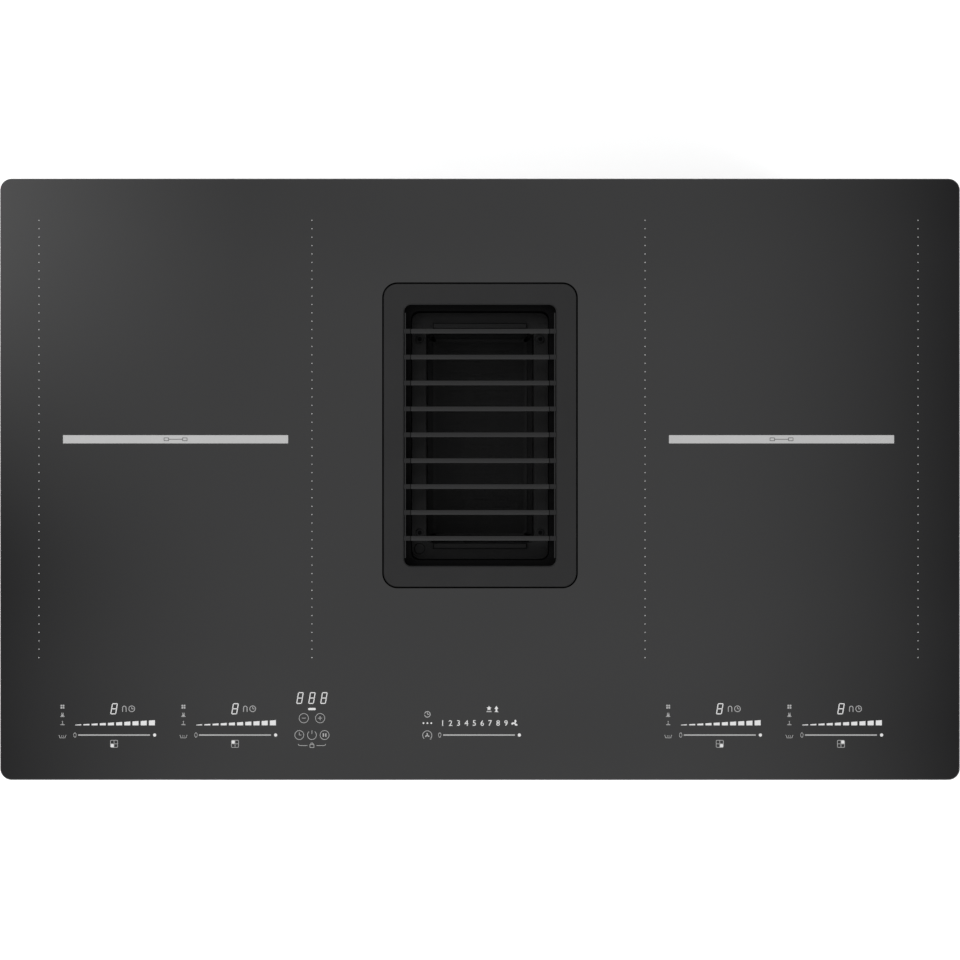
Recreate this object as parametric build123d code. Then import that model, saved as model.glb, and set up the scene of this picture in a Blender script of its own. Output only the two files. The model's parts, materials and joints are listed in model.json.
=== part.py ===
from build123d import *
from math import atan2, cos, degrees, hypot, pi, radians, sin
import os

# A built-in induction cooktop with its own downdraft extractor. Millimetres, +Z up,
# +X to the cook's right, +Y away from the cook. The origin is on the flat underside of
# the blower housing, below the centre of the glass.

# ---------------------------------------------------------------- driving dimensions

# Glass top
glass_width = 830.0
glass_depth = 520.0
glass_thickness = 4.0
glass_corner = 10.0
glass_bevel = 0.8
overall_height = 210.0

# Foam tape under the rim of the glass, which lies on the worktop
tape_width = 10.0
tape_thickness = 2.0
tape_inset = 4.0

# Sheet-steel case that holds the induction electronics
sheet = 1.0
case_side_inset = 29.0
case_end_inset = 19.0
case_height = 56.0
case_corner = 4.0
rail_flange = 8.0
rail_leg = 18.0
rim_gap = 0.3
floor_vent_pitch = 8.0
floor_vent_width = 4.0
wall_vent_pitch = 14.0
wall_vent_count = 8
wall_vent_width = 4.0
wall_vent_low = 8.0
wall_vent_height = 18.0

# Intake grille
intake_y = 38.0
grille_width = 166.8
grille_depth = 262.2
grille_corner = 12.0
grille_gap = 1.2
grille_pad = 1.0
pad_width = 6.0
pad_length = 16.0
opening_width = 131.4
opening_depth = 226.0
opening_corner = 6.0
opening_bevel = 1.0
blade_count = 9
blade_pitch = 22.4
blade_thickness = 3.9
blade_flat = 2.0
blade_fall = 0.5
blade_taper = 1.3
blade_setback = 0.5
blade_drop = 14.0
blade_recess = 0.6
tab_height = 4.0
skirt_inset = 1.5
skirt_wall = 2.0
skirt_drop = 4.0

# Moulded intake throat, bonded under the glass
throat_wall = 2.5
throat_flange = 15.0
step_depth = 11.0
step_side = 5.7
step_end = 4.7
well_margin = 4.3
seat_depth = 33.0
seat_ledge = 4.0
well_corner = 8.0
throat_tail = 3.0
slide_gap = 0.5

# Grease filter cassette
rim_thickness = 3.0
rim_band = 12.0
rim_end_band = 14.0
basket_wall = 2.5
basket_depth = 73.0
post_size = 7.0
panel_thickness = 1.6
slot_width = 3.2
slot_length = 17.0
slot_pitch_along = 21.5
slot_pitch_up = 7.0
strip_width = 9.0
strip_rise = 1.2
boss_radius = 6.5
boss_wall = 1.6
boss_inset = 6.7
boss_end = 23.0
grip_length = 82.0
grip_width = 5.0
grip_rise = 4.0
magnet_radius = 5.0
magnet_rise = 1.5
magnet_wall = 1.5
magnet_end_room = 4.0

# Drip tray below the cassette
tray_gap = 1.0
tray_wall = 1.8
tray_height = 54.0
tray_lip = 1.5
tray_corner = 12.0
tray_rest = 2.0
tray_foot = 20.0
tray_bar = 14.0

# Blower housing, which is also the flat base
housing_wall = 3.0
housing_left_room = 57.0
housing_end_room = 48.0
housing_gap = 6.0
housing_rear_inset = 13.0
rib_pitch = 42.0
rib_width = 4.0
rib_rise = 2.0
ear_size = 16.0
ear_thickness = 5.0

# Blower scroll and wheel: the wheel fills the room beside the filter
wheel_height = 68.0
wheel_band = 17.0
wheel_blades = 36
blade_sheet = 1.4
scroll_clearance = 13.0
scroll_growth = 13.0
scroll_wall = 2.5
scroll_gap = 8.0
tongue_angle = 50.0
tongue_round = 4.0
blower_y = -5.0
isolator_height = 7.0
isolator_radius = 8.0
duct_width = 222.0
duct_height = 89.0
duct_length = 28.0
duct_flange = 10.0
duct_corner = 5.0
bellmouth_rise = 6.0

# Blower motor with an outside rotor
motor_radius = 39.0
motor_can_height = 41.0
can_wall = 2.5
stator_teeth = 12
stator_height = 22.0
shaft_radius = 3.0
bearing_radius = 8.0
bearing_height = 6.0
tube_wall = 2.0
running_gap = 1.0
press_play = 0.02
motor_foot_rim = 9.0
motor_foot = 3.0
yoke = 5.0
tooth_width = 3.0
shoe_thickness = 3.0
shoe_gap = 2.0
winding_side = 1.7
winding_end = 2.5
hub_wall = 2.0
nut_radius = 6.5
nut_height = 5.0

# Cooking zones and their induction coils
zone_edge = 33.7
zone_width = 236.0
zone_centre_y = 34.7
coil_pitch_y = 190.0
coil_width = 212.0
coil_depth = 176.0
coil_turns = 13
litz_diameter = 3.2
strand_gap = 0.7
coil_inner_corner = 8.0
coil_play = 0.15
mica_thickness = 1.0
former_thickness = 3.0
ferrite_thickness = 4.0
ferrite_length = 44.0
ferrite_width = 12.0
ferrite_setback = 8.0
former_rim = 3.0
sensor_radius = 9.0
sensor_foot = 4.0
plate_sheet = 1.5
plate_width = 230.0
plate_depth = 376.0
plate_leg = 50.0
plate_foot = 10.0
plate_gap = 2.0

# Power electronics below the coils
board_width = 232.0
board_depth = 210.0
board_thickness = 1.6
board_lift = 6.0
board_front = -142.0
spacer_radius = 4.0
spacer_inset = 8.0
spacer_hole = 1.8
sink_width = 62.0
sink_depth = 170.0
sink_height = 27.0
sink_base = 4.0
sink_fins = 11
fin_thickness = 1.6
component_pitch = 44.0
component_room = 20.0
capacitor = (26.0, 32.0, 22.0)
relay = (20.0, 18.0, 15.0)
can_radius = 8.0
can_height = 24.0
choke_radius = 11.0
choke_wire = 3.0
connector = (14.0, 50.0, 12.0)

# Radial cooling fans
fan_wheel_radius = 32.0
fan_clearance = 5.0
fan_growth = 4.0
fan_wall = 1.8
fan_height = 26.0
fan_outlet = 52.0
fan_sink_room = 12.0
fan_blades = 25
fan_hub = 15.0
fan_hub_wall = 1.5
fan_blade_sheet = 0.8
fan_sleeve = 2.0
fan_pin = 2.5
pin_play = 0.05
shoulder_gap = 0.3

# Touch control under the front of the glass
control_end_room = 36.0
control_depth = 60.0
control_wall = 2.0
control_rear = -167.0
control_board_drop = 9.0
digit_width = 12.0
digit_depth = 15.0
digit_gap = 1.0
digit_setback = 2.0
timer_share = 0.175
timer_setback = -7.5
slider_offset = 53.0
touch_pitch = 22.0
touch_setback = 4.0
touch_radius = 5.0
touch_wire = 0.6
touch_play = 0.1

# Mains connection
terminal_width = 92.0
terminal_depth = 74.0
terminal_height = 36.0
terminal_wall = 2.2
terminal_lid = 2.4
terminal_end_room = 118.0
terminal_y = 160.0
terminal_lug = 3.0
terminal_pitch = 13.0
terminal_screw = 3.1
block_height = 16.0
block_depth = 24.0
block_width = 70.0
block_setback = 8.0
hinge_pin = 1.6
hinge_wall = 1.6
hinge_ear = 6.0
hinge_ear_inset = 8.0
hinge_ear_rise = 8.0
hinge_setback = 2.0
hinge_gap = 0.3
gland_bore = 6.5
gland_radius = 11.0
gland_length = 20.0

# Spring clips that hold the case in the worktop
clip_width = 22.0
clip_sheet = 1.2
clip_height = 40.0
clip_bulge = 8.0
clip_tail = 4.0
clip_y = 150.0

# Screws: shank radius, head radius and head height
m4_shank = 2.0
m4_head = 3.8
m4_head_height = 2.4
m3_shank = 1.5
m3_head = 3.4
m3_head_height = 1.6
screw_gap = 0.15

# ---------------------------------------------------------------- levels and outlines

glass_top = overall_height
glass_under = glass_top - glass_thickness
case_bottom = glass_under - case_height
case_floor = case_bottom + sheet
case_half_x = glass_width / 2 - case_side_inset
case_half_y = glass_depth / 2 - case_end_inset
case_top = glass_under - rim_gap

step_level = glass_top - step_depth
seat_level = glass_top - seat_depth
well_half_x = opening_width / 2 - step_side
well_half_y = opening_depth / 2 - step_end
passage_half_x = well_half_x - seat_ledge
passage_half_y = well_half_y - seat_ledge
throat_half_x = well_half_x + throat_wall
throat_half_y = well_half_y + throat_wall
upper_well_half_x = opening_width / 2 + well_margin
upper_well_half_y = opening_depth / 2 + well_margin

rim_half_x = well_half_x - slide_gap
rim_half_y = well_half_y - slide_gap
mouth_half_x = rim_half_x - rim_band
mouth_half_y = rim_half_y - rim_end_band
rim_top = seat_level + rim_thickness
basket_bottom = seat_level - basket_depth

tray_half_x = passage_half_x - tray_gap
tray_half_y = passage_half_y - tray_gap
tray_bottom = housing_wall + tray_rest
tray_top = tray_bottom + tray_height

scroll_bottom = housing_wall + isolator_height
scroll_top = scroll_bottom + duct_height
housing_x0 = -tray_half_x - housing_left_room - housing_wall
housing_x1 = case_half_x - housing_end_room
scroll_x0 = tray_half_x + scroll_gap + scroll_wall
scroll_x1 = housing_x1 - housing_wall - housing_gap - scroll_wall
spiral_radius = (scroll_x1 - scroll_x0 - 5 * scroll_growth) / 2
wheel_radius = spiral_radius - scroll_clearance
wheel_eye = wheel_radius - wheel_band
spiral_reach_left = scroll_growth / 2 + spiral_radius + scroll_growth
spiral_reach_front = scroll_growth / 2 + spiral_radius + 2 * scroll_growth
spiral_reach_right = scroll_growth / 2 + spiral_radius + 3 * scroll_growth
blower_x = scroll_x0 + spiral_reach_left

housing_corner = housing_gap + housing_wall
housing_y0 = blower_y - spiral_reach_front - scroll_wall - housing_gap - housing_wall
housing_y1 = case_half_y - housing_rear_inset

zone_x = glass_width / 2 - zone_edge - zone_width / 2
coil_pitch = litz_diameter + strand_gap
coil_band = coil_turns * coil_pitch + litz_diameter / 2
coil_corner = coil_inner_corner + coil_band
mica_under = glass_under - mica_thickness
former_top = mica_under - litz_diameter - 2 * coil_play
ferrite_top = former_top - former_thickness
plate_top = ferrite_top - ferrite_thickness
board_under = case_floor + board_lift
board_top = board_under + board_thickness
control_board_top = glass_under - control_board_drop
control_width = 2 * (case_half_x - control_end_room)
timer_x = -timer_share * glass_width
terminal_x = terminal_end_room - case_half_x

os.makedirs("parts", exist_ok=True)


# ---------------------------------------------------------------- helpers

def save(node, *pieces):
    """Writes one node as a compound of separate solids."""
    solids = [solid for piece in pieces for solid in piece.solids()]
    export_step(Compound(solids), f"parts/{node}.step")


def slab(centre, size, low, high, corner=0.0):
    """Upright block between two heights, with its upright edges rounded."""
    outline = RectangleRounded(*size, corner) if corner > 0 else Rectangle(*size)
    return extrude(Pos(*centre, low) * outline, amount=high - low)


def span(x0, x1, y0, y1, low, high, corner=0.0):
    """The same block, given by its sides."""
    return slab(((x0 + x1) / 2, (y0 + y1) / 2), (x1 - x0, y1 - y0), low, high, corner)


def disc(centre, radius, low, high):
    """Upright cylinder between two heights."""
    return extrude(Pos(*centre, low) * Circle(radius), amount=high - low)


def pipe(centre, outer, inner, low, high):
    """Upright tube between two heights."""
    return extrude(Pos(*centre, low) * (Circle(outer) - Circle(inner)), amount=high - low)


def screw(length, shank=m4_shank, head=m4_head, height=m4_head_height):
    """Pan-head screw: its head stands on z = 0 and its shank points down."""
    body = Cylinder(head, height, align=(Align.CENTER, Align.CENTER, Align.MIN))
    body = fillet(body.edges().group_by(Axis.Z)[-1], height * 0.45)
    body += Cylinder(shank, length, align=(Align.CENTER, Align.CENTER, Align.MAX))
    recess = extrude(Pos(0, 0, height) * RegularPolygon(head * 0.42, 6), amount=-height * 0.6)
    return body - recess


def spiral_face(first, growth, tongue, outlet, outlet_y, wall=0.0):
    """Snail outline about the origin: four quarter arcs, each wider by one step, that end
    in an outlet facing +Y. wall grows it outwards by an even thickness."""
    h = growth / 2
    centres = [(-h, h), (-h, -h), (h, -h), (h, h)]
    radii = [first + wall + growth * k for k in range(4)]
    angle = radians(tongue)
    tip = Vector(-h + radii[0] * cos(angle), h + radii[0] * sin(angle))
    right = h + radii[3]
    left = right - outlet - 2 * wall
    arcs = [CenterArc(centres[0], radii[0], tongue, 90 - tongue)]
    arcs += [CenterArc(centres[k], radii[k], 90 * k, 90) for k in (1, 2, 3)]
    lines = [
        Line((right, h), (right, outlet_y)),
        Line((right, outlet_y), (left, outlet_y)),
        Line((left, outlet_y), tip),
    ]
    return make_face([*arcs, *lines])


# ---------------------------------------------------------------- glass and case

def glass_plate():
    plate = slab((0, 0), (glass_width, glass_depth), glass_under, glass_top, glass_corner)
    plate = chamfer(plate.edges().group_by(Axis.Z)[-1], glass_bevel)
    hole = (grille_width + 2 * grille_gap, grille_depth + 2 * grille_gap)
    return plate - slab(
        (0, intake_y), hole, glass_under, glass_top, grille_corner + grille_gap
    )


def worktop_tape():
    """Four strips, butted at the corners."""
    x1 = glass_width / 2 - tape_inset
    y1 = glass_depth / 2 - tape_inset
    low = glass_under - tape_thickness
    strips = []
    for side in (-1, 1):
        y = side * (y1 - tape_width / 2)
        x = side * (x1 - tape_width / 2)
        strips.append(slab((0, y), (2 * x1, tape_width), low, glass_under))
        strips.append(slab((x, 0), (tape_width, 2 * (y1 - tape_width)), low, glass_under))
    return strips


def angle_rail(length):
    """Steel angle along X: its leg stands on the wall at y = 0, its flange runs to +Y."""
    flange = span(-length / 2, length / 2, 0, rail_flange, glass_under - sheet, glass_under)
    leg = span(-length / 2, length / 2, 0, sheet, glass_under - rail_leg, glass_under)
    return flange + leg


def rail_screw_places():
    """(x, y, heading in degrees) of every screw that joins the case to the rails."""
    places = []
    for share in (-0.72, 0.0, 0.72):
        for side in (-1, 1):
            places.append((share * case_half_x, side * case_half_y, 90 * side))
            places.append((side * case_half_x, share * case_half_y, 90 - 90 * side))
    return places


def outward(x, y, heading, z):
    """Places a screw on a wall with its head pointing outwards along a heading."""
    return Pos(x, y, z) * Rot(0, 0, heading) * Rot(0, 90, 0)


def wall_holes(radius):
    """Cross holes for the rail screws."""
    z = glass_under - rail_leg * 0.6
    bar = Cylinder(radius, 6 * sheet)
    return [outward(x, y, heading, z) * bar for x, y, heading in rail_screw_places()]


def case_screws():
    z = glass_under - rail_leg * 0.6
    return [
        outward(x, y, heading, z) * screw(3 * sheet)
        for x, y, heading in rail_screw_places()
    ]


def rails():
    inner_x = case_half_x - sheet
    inner_y = case_half_y - sheet
    end = angle_rail(2 * (inner_x - case_corner))
    side = angle_rail(2 * (inner_y - rail_flange - slide_gap))
    holes = wall_holes(m4_shank + screw_gap)
    ends = [Pos(0, -inner_y, 0) * end - holes, Pos(0, inner_y, 0) * Rot(0, 0, 180) * end - holes]
    sides = [
        Pos(-inner_x, 0, 0) * Rot(0, 0, -90) * side - holes,
        Pos(inner_x, 0, 0) * Rot(0, 0, 90) * side - holes,
    ]
    return ends, sides


def fan_places():
    """Centres of the two cooling fans."""
    return [(-zone_x, fan_y), (zone_x, fan_y)]


def case_vents():
    """Slots below each fan, and rows of slots in the front and side walls."""
    cuts = []
    for x, y in fan_places():
        for k in range(-3, 4):
            offset = floor_vent_pitch * k
            length = 1.8 * (fan_wheel_radius**2 - offset**2) ** 0.5
            size = (floor_vent_width, length)
            cuts.append(slab((x + offset, y), size, case_bottom, case_floor, floor_vent_width * 0.45))
    low = case_floor + wall_vent_low
    high = low + wall_vent_height
    front = -case_half_y + sheet / 2
    for k in range(wall_vent_count):
        offset = (k - (wall_vent_count - 1) / 2) * wall_vent_pitch
        for side in (-1, 1):
            wall = side * (case_half_x - sheet / 2)
            cuts.append(slab((side * (zone_x + offset), front), (wall_vent_width, sheet), low, high))
            cuts.append(slab((wall, offset), (sheet, wall_vent_width), low, high))
    return cuts


def hob_case():
    size = (2 * case_half_x, 2 * case_half_y)
    inner = (size[0] - 2 * sheet, size[1] - 2 * sheet)
    tub = slab((0, 0), size, case_bottom, case_top, case_corner)
    tub -= slab((0, 0), inner, case_floor, case_top, case_corner - sheet)
    passage = (2 * (throat_half_x + slide_gap), 2 * (throat_half_y + slide_gap))
    tub -= slab((0, intake_y), passage, case_bottom, case_floor, well_corner)
    tub -= case_vents()
    tub -= wall_holes(m4_shank + 2 * screw_gap)
    tub -= [disc(p, m4_shank + screw_gap, case_bottom, case_floor) for p in ear_places()]
    tub -= [disc(p, m4_shank + screw_gap, case_bottom, case_floor) for p in lug_places()]
    for x, y, heading in clip_screw_places():
        hole = outward(x, y, heading, clip_screw_z) * Cylinder(m4_shank + screw_gap, 6 * sheet)
        tub -= hole
    return tub


# ---------------------------------------------------------------- spring clips

clip_screw_z = case_top - rail_leg - 3 * m4_head


def clip_screw_places():
    return [(sx * case_half_x, sy * clip_y, 90 - 90 * sx) for sx in (-1, 1) for sy in (-1, 1)]


def spring_clips():
    """Bent steel strips: flat on the case wall at the top, bulging out below."""
    top = clip_screw_z + 2 * m4_head
    knee = clip_screw_z - 2 * m4_head
    low = top - clip_height
    x = clip_sheet / 2
    path = FilletPolyline(
        (x, top), (x, knee), (clip_bulge, (knee + low) / 2), (x, low), (x, low - clip_tail),
        radius=clip_bulge * 0.3,
    )
    strip = extrude(Plane.XZ * trace(path, clip_sheet), amount=clip_width / 2, both=True)
    strip -= Pos(0, 0, clip_screw_z) * Rot(0, 90, 0) * Cylinder(m4_shank + screw_gap, 6 * clip_sheet)
    return [Pos(x, y, 0) * Rot(0, 0, heading) * strip for x, y, heading in clip_screw_places()]


def clip_screws():
    return [
        outward(x, y, heading, clip_screw_z) * Pos(0, 0, clip_sheet) * screw(clip_sheet + 4 * sheet)
        for x, y, heading in clip_screw_places()
    ]


# ---------------------------------------------------------------- intake throat and grille

def intake_throat():
    top = glass_under
    hole_x = grille_width / 2 + grille_gap
    hole_y = grille_depth / 2 + grille_gap
    at = (0, intake_y)
    flange = (2 * (hole_x + throat_flange), 2 * (hole_y + throat_flange))
    upper = (2 * (upper_well_half_x + throat_wall), 2 * (upper_well_half_y + throat_wall))
    body = slab(at, flange, top - throat_wall, top, grille_corner + throat_flange)
    body += slab(at, upper, step_level - throat_wall, top, well_corner + throat_wall)
    lower = (2 * throat_half_x, 2 * throat_half_y)
    body += slab(at, lower, case_bottom - throat_tail, step_level, well_corner)
    room = (2 * upper_well_half_x, 2 * upper_well_half_y)
    body -= slab(at, room, step_level, top, well_corner)
    body -= slab(at, (2 * well_half_x, 2 * well_half_y), seat_level, step_level, well_corner - 1)
    passage = (2 * passage_half_x, 2 * passage_half_y)
    return body - slab(at, passage, case_bottom - throat_tail, seat_level, well_corner - 2)


def blade(y):
    """One louvre with a sloping front lip: deep inside the well, with a shallow tab at each end."""
    top = glass_top - blade_recess
    low = top - blade_drop
    lip = top - blade_fall
    back = y + blade_setback + blade_thickness / 2
    front = back - blade_thickness
    profile = Polyline(
        (back, top), (back - blade_flat, top), (front, lip), (front + blade_taper, low), (back, low), close=True
    )
    section = Plane.YZ * make_face(profile)
    deep = extrude(section, amount=well_half_x - slide_gap, both=True)
    tab_half = opening_width / 2
    tabs = extrude(section, amount=tab_half, both=True)
    tabs &= span(-tab_half, tab_half, front, back, lip - tab_height, lip)
    return deep + tabs


def intake_grille():
    """Surround, blades and locating skirt are one casting."""
    at = (0, intake_y)
    low = glass_under + grille_pad
    ring = slab(at, (grille_width, grille_depth), low, glass_top, grille_corner)
    ring = chamfer(ring.edges().group_by(Axis.Z)[-1], opening_bevel / 2)
    opening = slab(at, (opening_width, opening_depth), low, glass_top, opening_corner)
    outer = (2 * (upper_well_half_x - skirt_inset), 2 * (upper_well_half_y - skirt_inset))
    inner = (outer[0] - 2 * skirt_wall, outer[1] - 2 * skirt_wall)
    skirt = slab(at, outer, glass_under - skirt_drop, low, well_corner)
    skirt -= slab(at, inner, glass_under - skirt_drop, low, well_corner - skirt_wall)
    ring = ring + skirt - opening
    rim = [e for e in ring.edges().filter_by_position(Axis.Z, glass_top, glass_top)
           if abs(e.center().X) < opening_width / 2 + 0.1
           and abs(e.center().Y - intake_y) < opening_depth / 2 + 0.1]
    ring = chamfer(rim, opening_bevel)
    middle = (blade_count - 1) / 2
    return ring + [blade(intake_y + (k - middle) * blade_pitch) for k in range(blade_count)]


def grille_pads():
    """Rubber pads between the grille and the throat's flange."""
    x = (grille_width / 2 + upper_well_half_x + throat_wall) / 2
    y = (grille_depth / 2 + upper_well_half_y + throat_wall) / 2
    top = glass_under + grille_pad
    pads = []
    for sx in (-1, 1):
        for share in (-0.8, 0, 0.8):
            at = (sx * x, intake_y + share * upper_well_half_y)
            pads.append(slab(at, (pad_width, pad_length), glass_under, top, pad_width / 3))
        for sy in (-1, 1):
            at = (sx * upper_well_half_x / 2, intake_y + sy * y)
            pads.append(slab(at, (pad_length, pad_width), glass_under, top, pad_width / 3))
    return pads


# ---------------------------------------------------------------- grease filter cassette

basket_half_x = mouth_half_x + basket_wall
basket_half_y = mouth_half_y + basket_wall
panel_low = basket_bottom + basket_wall
panel_high = seat_level


def boss_places():
    x = rim_half_x - boss_inset
    y = rim_half_y - boss_end
    return [(sx * x, intake_y + sy * y) for sx in (-1, 1) for sy in (-1, 1)]


magnet_place = (
    -(rim_half_x - magnet_radius - magnet_wall),
    intake_y - (rim_half_y - magnet_radius - magnet_end_room),
)


def cassette_frame():
    """Rim, corner posts and bottom ring of the basket."""
    at = (0, intake_y)
    rim = slab(at, (2 * rim_half_x, 2 * rim_half_y), seat_level, rim_top, well_corner - 1)
    strip_half = rim_half_y - rim_band + 2
    for side in (-1, 1):
        x = side * (rim_half_x - strip_width / 2)
        rim += slab((x, intake_y), (strip_width, 2 * strip_half), rim_top, rim_top + strip_rise)
    rim += [disc(place, boss_radius, seat_level, rim_top + strip_rise / 2) for place in boss_places()]
    rim += disc(magnet_place, magnet_radius + magnet_wall, seat_level, rim_top + strip_rise)
    rim = rim & slab(at, (2 * rim_half_x, 2 * rim_half_y), seat_level, glass_top, well_corner - 1)
    rim -= slab(at, (2 * mouth_half_x, 2 * mouth_half_y), seat_level, glass_top, 4)
    rim -= disc(magnet_place, magnet_radius, rim_top - magnet_rise, glass_top)
    for place in boss_places():
        rim -= disc(place, boss_radius - boss_wall, rim_top, glass_top)
        rim -= disc(place, m3_shank + screw_gap, seat_level, glass_top)
    size = (2 * basket_half_x, 2 * basket_half_y)
    ring = slab(at, size, basket_bottom, panel_low, 4)
    ring -= slab(at, (size[0] - 4 * basket_wall, size[1] - 4 * basket_wall), basket_bottom, panel_low, 2)
    body = rim + ring
    for sx in (-1, 1):
        for sy in (-1, 1):
            x = sx * (basket_half_x - post_size / 2)
            y = intake_y + sy * (basket_half_y - post_size / 2)
            post = slab((x, y), (post_size, post_size), basket_bottom, seat_level, 2)
            groove_x = sx * (basket_half_x - basket_wall / 2 - panel_thickness / 2)
            groove_y = intake_y + sy * (basket_half_y - basket_wall / 2 - panel_thickness / 2)
            post -= slab((x - sx * post_size / 2, groove_y), (post_size, panel_thickness), panel_low, panel_high)
            post -= slab((groove_x, y - sy * post_size / 2), (panel_thickness, post_size), panel_low, panel_high)
            body += post
    return body


def slotted(length, height):
    """Perforated steel sheet standing on the XZ plane, centred on x = 0, foot at z = 0."""
    sheet_panel = span(-length / 2, length / 2, -panel_thickness / 2, panel_thickness / 2, 0, height)
    columns = int((length - 2 * post_size) // slot_pitch_along)
    rows = int((height - slot_pitch_up) // slot_pitch_up)
    slot = extrude(
        Plane.XZ * SlotOverall(slot_length, slot_width), amount=panel_thickness, both=True
    )
    cuts = []
    for row in range(rows):
        z = height / 2 + (row - (rows - 1) / 2) * slot_pitch_up
        for column in range(columns):
            x = (column - (columns - 1) / 2) * slot_pitch_along
            cuts.append(Pos(x, 0, z) * slot)
    return sheet_panel - cuts


def cassette_panels():
    """The four slotted walls and the slotted floor of the basket."""
    height = panel_high - panel_low
    reach_x = basket_half_x - post_size / 2
    reach_y = basket_half_y - post_size / 2
    groove_x = basket_half_x - basket_wall / 2 - panel_thickness / 2
    groove_y = basket_half_y - basket_wall / 2 - panel_thickness / 2
    end = slotted(2 * (reach_x - screw_gap), height - screw_gap)
    side = slotted(2 * (reach_y - screw_gap), height - screw_gap)
    walls = []
    for sign in (-1, 1):
        walls.append(Pos(0, intake_y + sign * groove_y, panel_low) * end)
        walls.append(Pos(sign * groove_x, intake_y, panel_low) * Rot(0, 0, 90) * side)
    inner_x = groove_x - panel_thickness / 2 - screw_gap
    inner_y = groove_y - panel_thickness / 2 - screw_gap
    floor = Rot(90, 0, 0) * slotted(2 * inner_x, 2 * inner_y)
    floor = Pos(0, intake_y + inner_y, panel_low + panel_thickness / 2) * floor
    corner = post_size - basket_wall / 2
    for sx in (-1, 1):
        for sy in (-1, 1):
            at = (sx * inner_x, intake_y + sy * inner_y)
            floor -= slab(at, (2 * corner, 2 * corner), panel_low, panel_low + panel_thickness)
    return walls, [floor]


def cassette_screws():
    part = screw(2 * rim_thickness, m3_shank, m3_head, m3_head_height)
    return [Pos(*place, rim_top) * part for place in boss_places()]


def cassette_grips():
    """Raised bars at both ends of the rim, for lifting the cassette out."""
    y = mouth_half_y + grip_width / 2
    bars = []
    for side in (-1, 1):
        bar = slab((0, intake_y + side * y), (grip_length, grip_width), rim_top, rim_top + grip_rise)
        bars.append(fillet(bar.edges().group_by(Axis.Z)[-1], grip_width * 0.25))
    return bars


def filter_magnet():
    low = rim_top - magnet_rise
    cap = disc(magnet_place, magnet_radius - screw_gap, low, rim_top + magnet_rise)
    return fillet(cap.edges().group_by(Axis.Z)[-1], magnet_rise * 0.6)


# ---------------------------------------------------------------- drip tray

def drip_tray():
    at = (0, intake_y)
    lip = (2 * tray_half_x, 2 * tray_half_y)
    size = (lip[0] - 2 * tray_lip, lip[1] - 2 * tray_lip)
    inner = (size[0] - 2 * tray_wall, size[1] - 2 * tray_wall)
    tray = slab(at, size, tray_bottom, tray_top, tray_corner)
    tray = fillet(tray.edges().group_by(Axis.Z)[0], tray_corner * 0.35)
    tray += slab(at, lip, tray_top - tray_wall, tray_top, tray_corner + tray_lip)
    room = slab(at, inner, tray_bottom + tray_wall, tray_top, tray_corner - tray_wall)
    room = fillet(room.edges().group_by(Axis.Z)[0], tray_corner * 0.3)
    tray -= room
    return tray + slab(at, (inner[0] + tray_wall, tray_bar), tray_top - 2 * tray_wall, tray_top)


# ---------------------------------------------------------------- blower housing

def ear_places():
    """Screw centres of the ears around the top of the housing."""
    out = ear_size / 2
    places = []
    for share in (0.18, 0.82):
        x = housing_x0 + share * (housing_x1 - housing_x0)
        y = housing_y0 + share * (housing_y1 - housing_y0)
        places += [(x, housing_y0 - out), (housing_x0 - out, y), (housing_x1 + out, y)]
    return places


def duct_centre():
    """Middle of the rear outlet: x, and height."""
    right = blower_x + spiral_reach_right
    return right - (duct_width - 2 * scroll_wall) / 2, scroll_bottom + duct_height / 2


def blower_housing():
    tub = span(housing_x0, housing_x1, housing_y0, housing_y1, 0, case_bottom, housing_corner)
    tub = fillet(tub.edges().group_by(Axis.Z)[0], housing_wall)
    wall = housing_wall
    tub -= span(
        housing_x0 + wall, housing_x1 - wall, housing_y0 + wall, housing_y1 - wall,
        wall, case_bottom, housing_corner - wall,
    )
    low, high = 2 * housing_wall, case_bottom - ear_thickness - 2 * rib_rise
    count_x = int((housing_x1 - housing_x0 - 2 * housing_corner) // rib_pitch)
    count_y = int((housing_y1 - housing_y0 - 2 * housing_corner) // rib_pitch)
    middle_x = (housing_x0 + housing_x1) / 2
    middle_y = (housing_y0 + housing_y1) / 2
    ribs = []
    for k in range(count_x + 1):
        x = middle_x + (k - count_x / 2) * rib_pitch
        ribs.append(slab((x, housing_y0), (rib_width, 2 * rib_rise), low, high, rib_width * 0.4))
    for k in range(count_y + 1):
        y = middle_y + (k - count_y / 2) * rib_pitch
        for x in (housing_x0, housing_x1):
            ribs.append(slab((x, y), (2 * rib_rise, rib_width), low, high, rib_rise * 0.4))
    for x, y in ear_places():
        size = (ear_size, ear_size)
        ear = slab((x, y), size, case_bottom - ear_thickness, case_bottom, 3)
        near_x = min(max(x, housing_x0 + 1), housing_x1 - 1)
        near_y = min(max(y, housing_y0 + 1), housing_y1 - 1)
        ribs.append(ear)
        ribs.append(slab(((x + near_x) / 2, (y + near_y) / 2), size, case_bottom - ear_thickness, case_bottom))
    inside = span(
        housing_x0 + wall, housing_x1 - wall, housing_y0 + wall, housing_y1 - wall,
        wall, case_bottom, housing_corner - wall,
    )
    tub = (tub + ribs) - inside
    for sx in (-1, 1):
        for sy in (-1, 1):
            at = (sx * tray_half_x * 0.6, intake_y + sy * tray_half_y * 0.7)
            tub += slab(at, (tray_foot, tray_foot), housing_wall, tray_bottom, tray_foot / 5)
    duct_x, duct_z = duct_centre()
    opening = Box(duct_width - 2 * scroll_wall, 3 * housing_wall, duct_height - 2 * scroll_wall)
    tub -= Pos(duct_x, housing_y1, duct_z) * opening
    tub -= spout_holes(m4_shank)
    reach = case_bottom - ear_thickness
    return tub - [disc(p, m4_shank + screw_gap, reach, case_bottom) for p in ear_places()]


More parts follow.
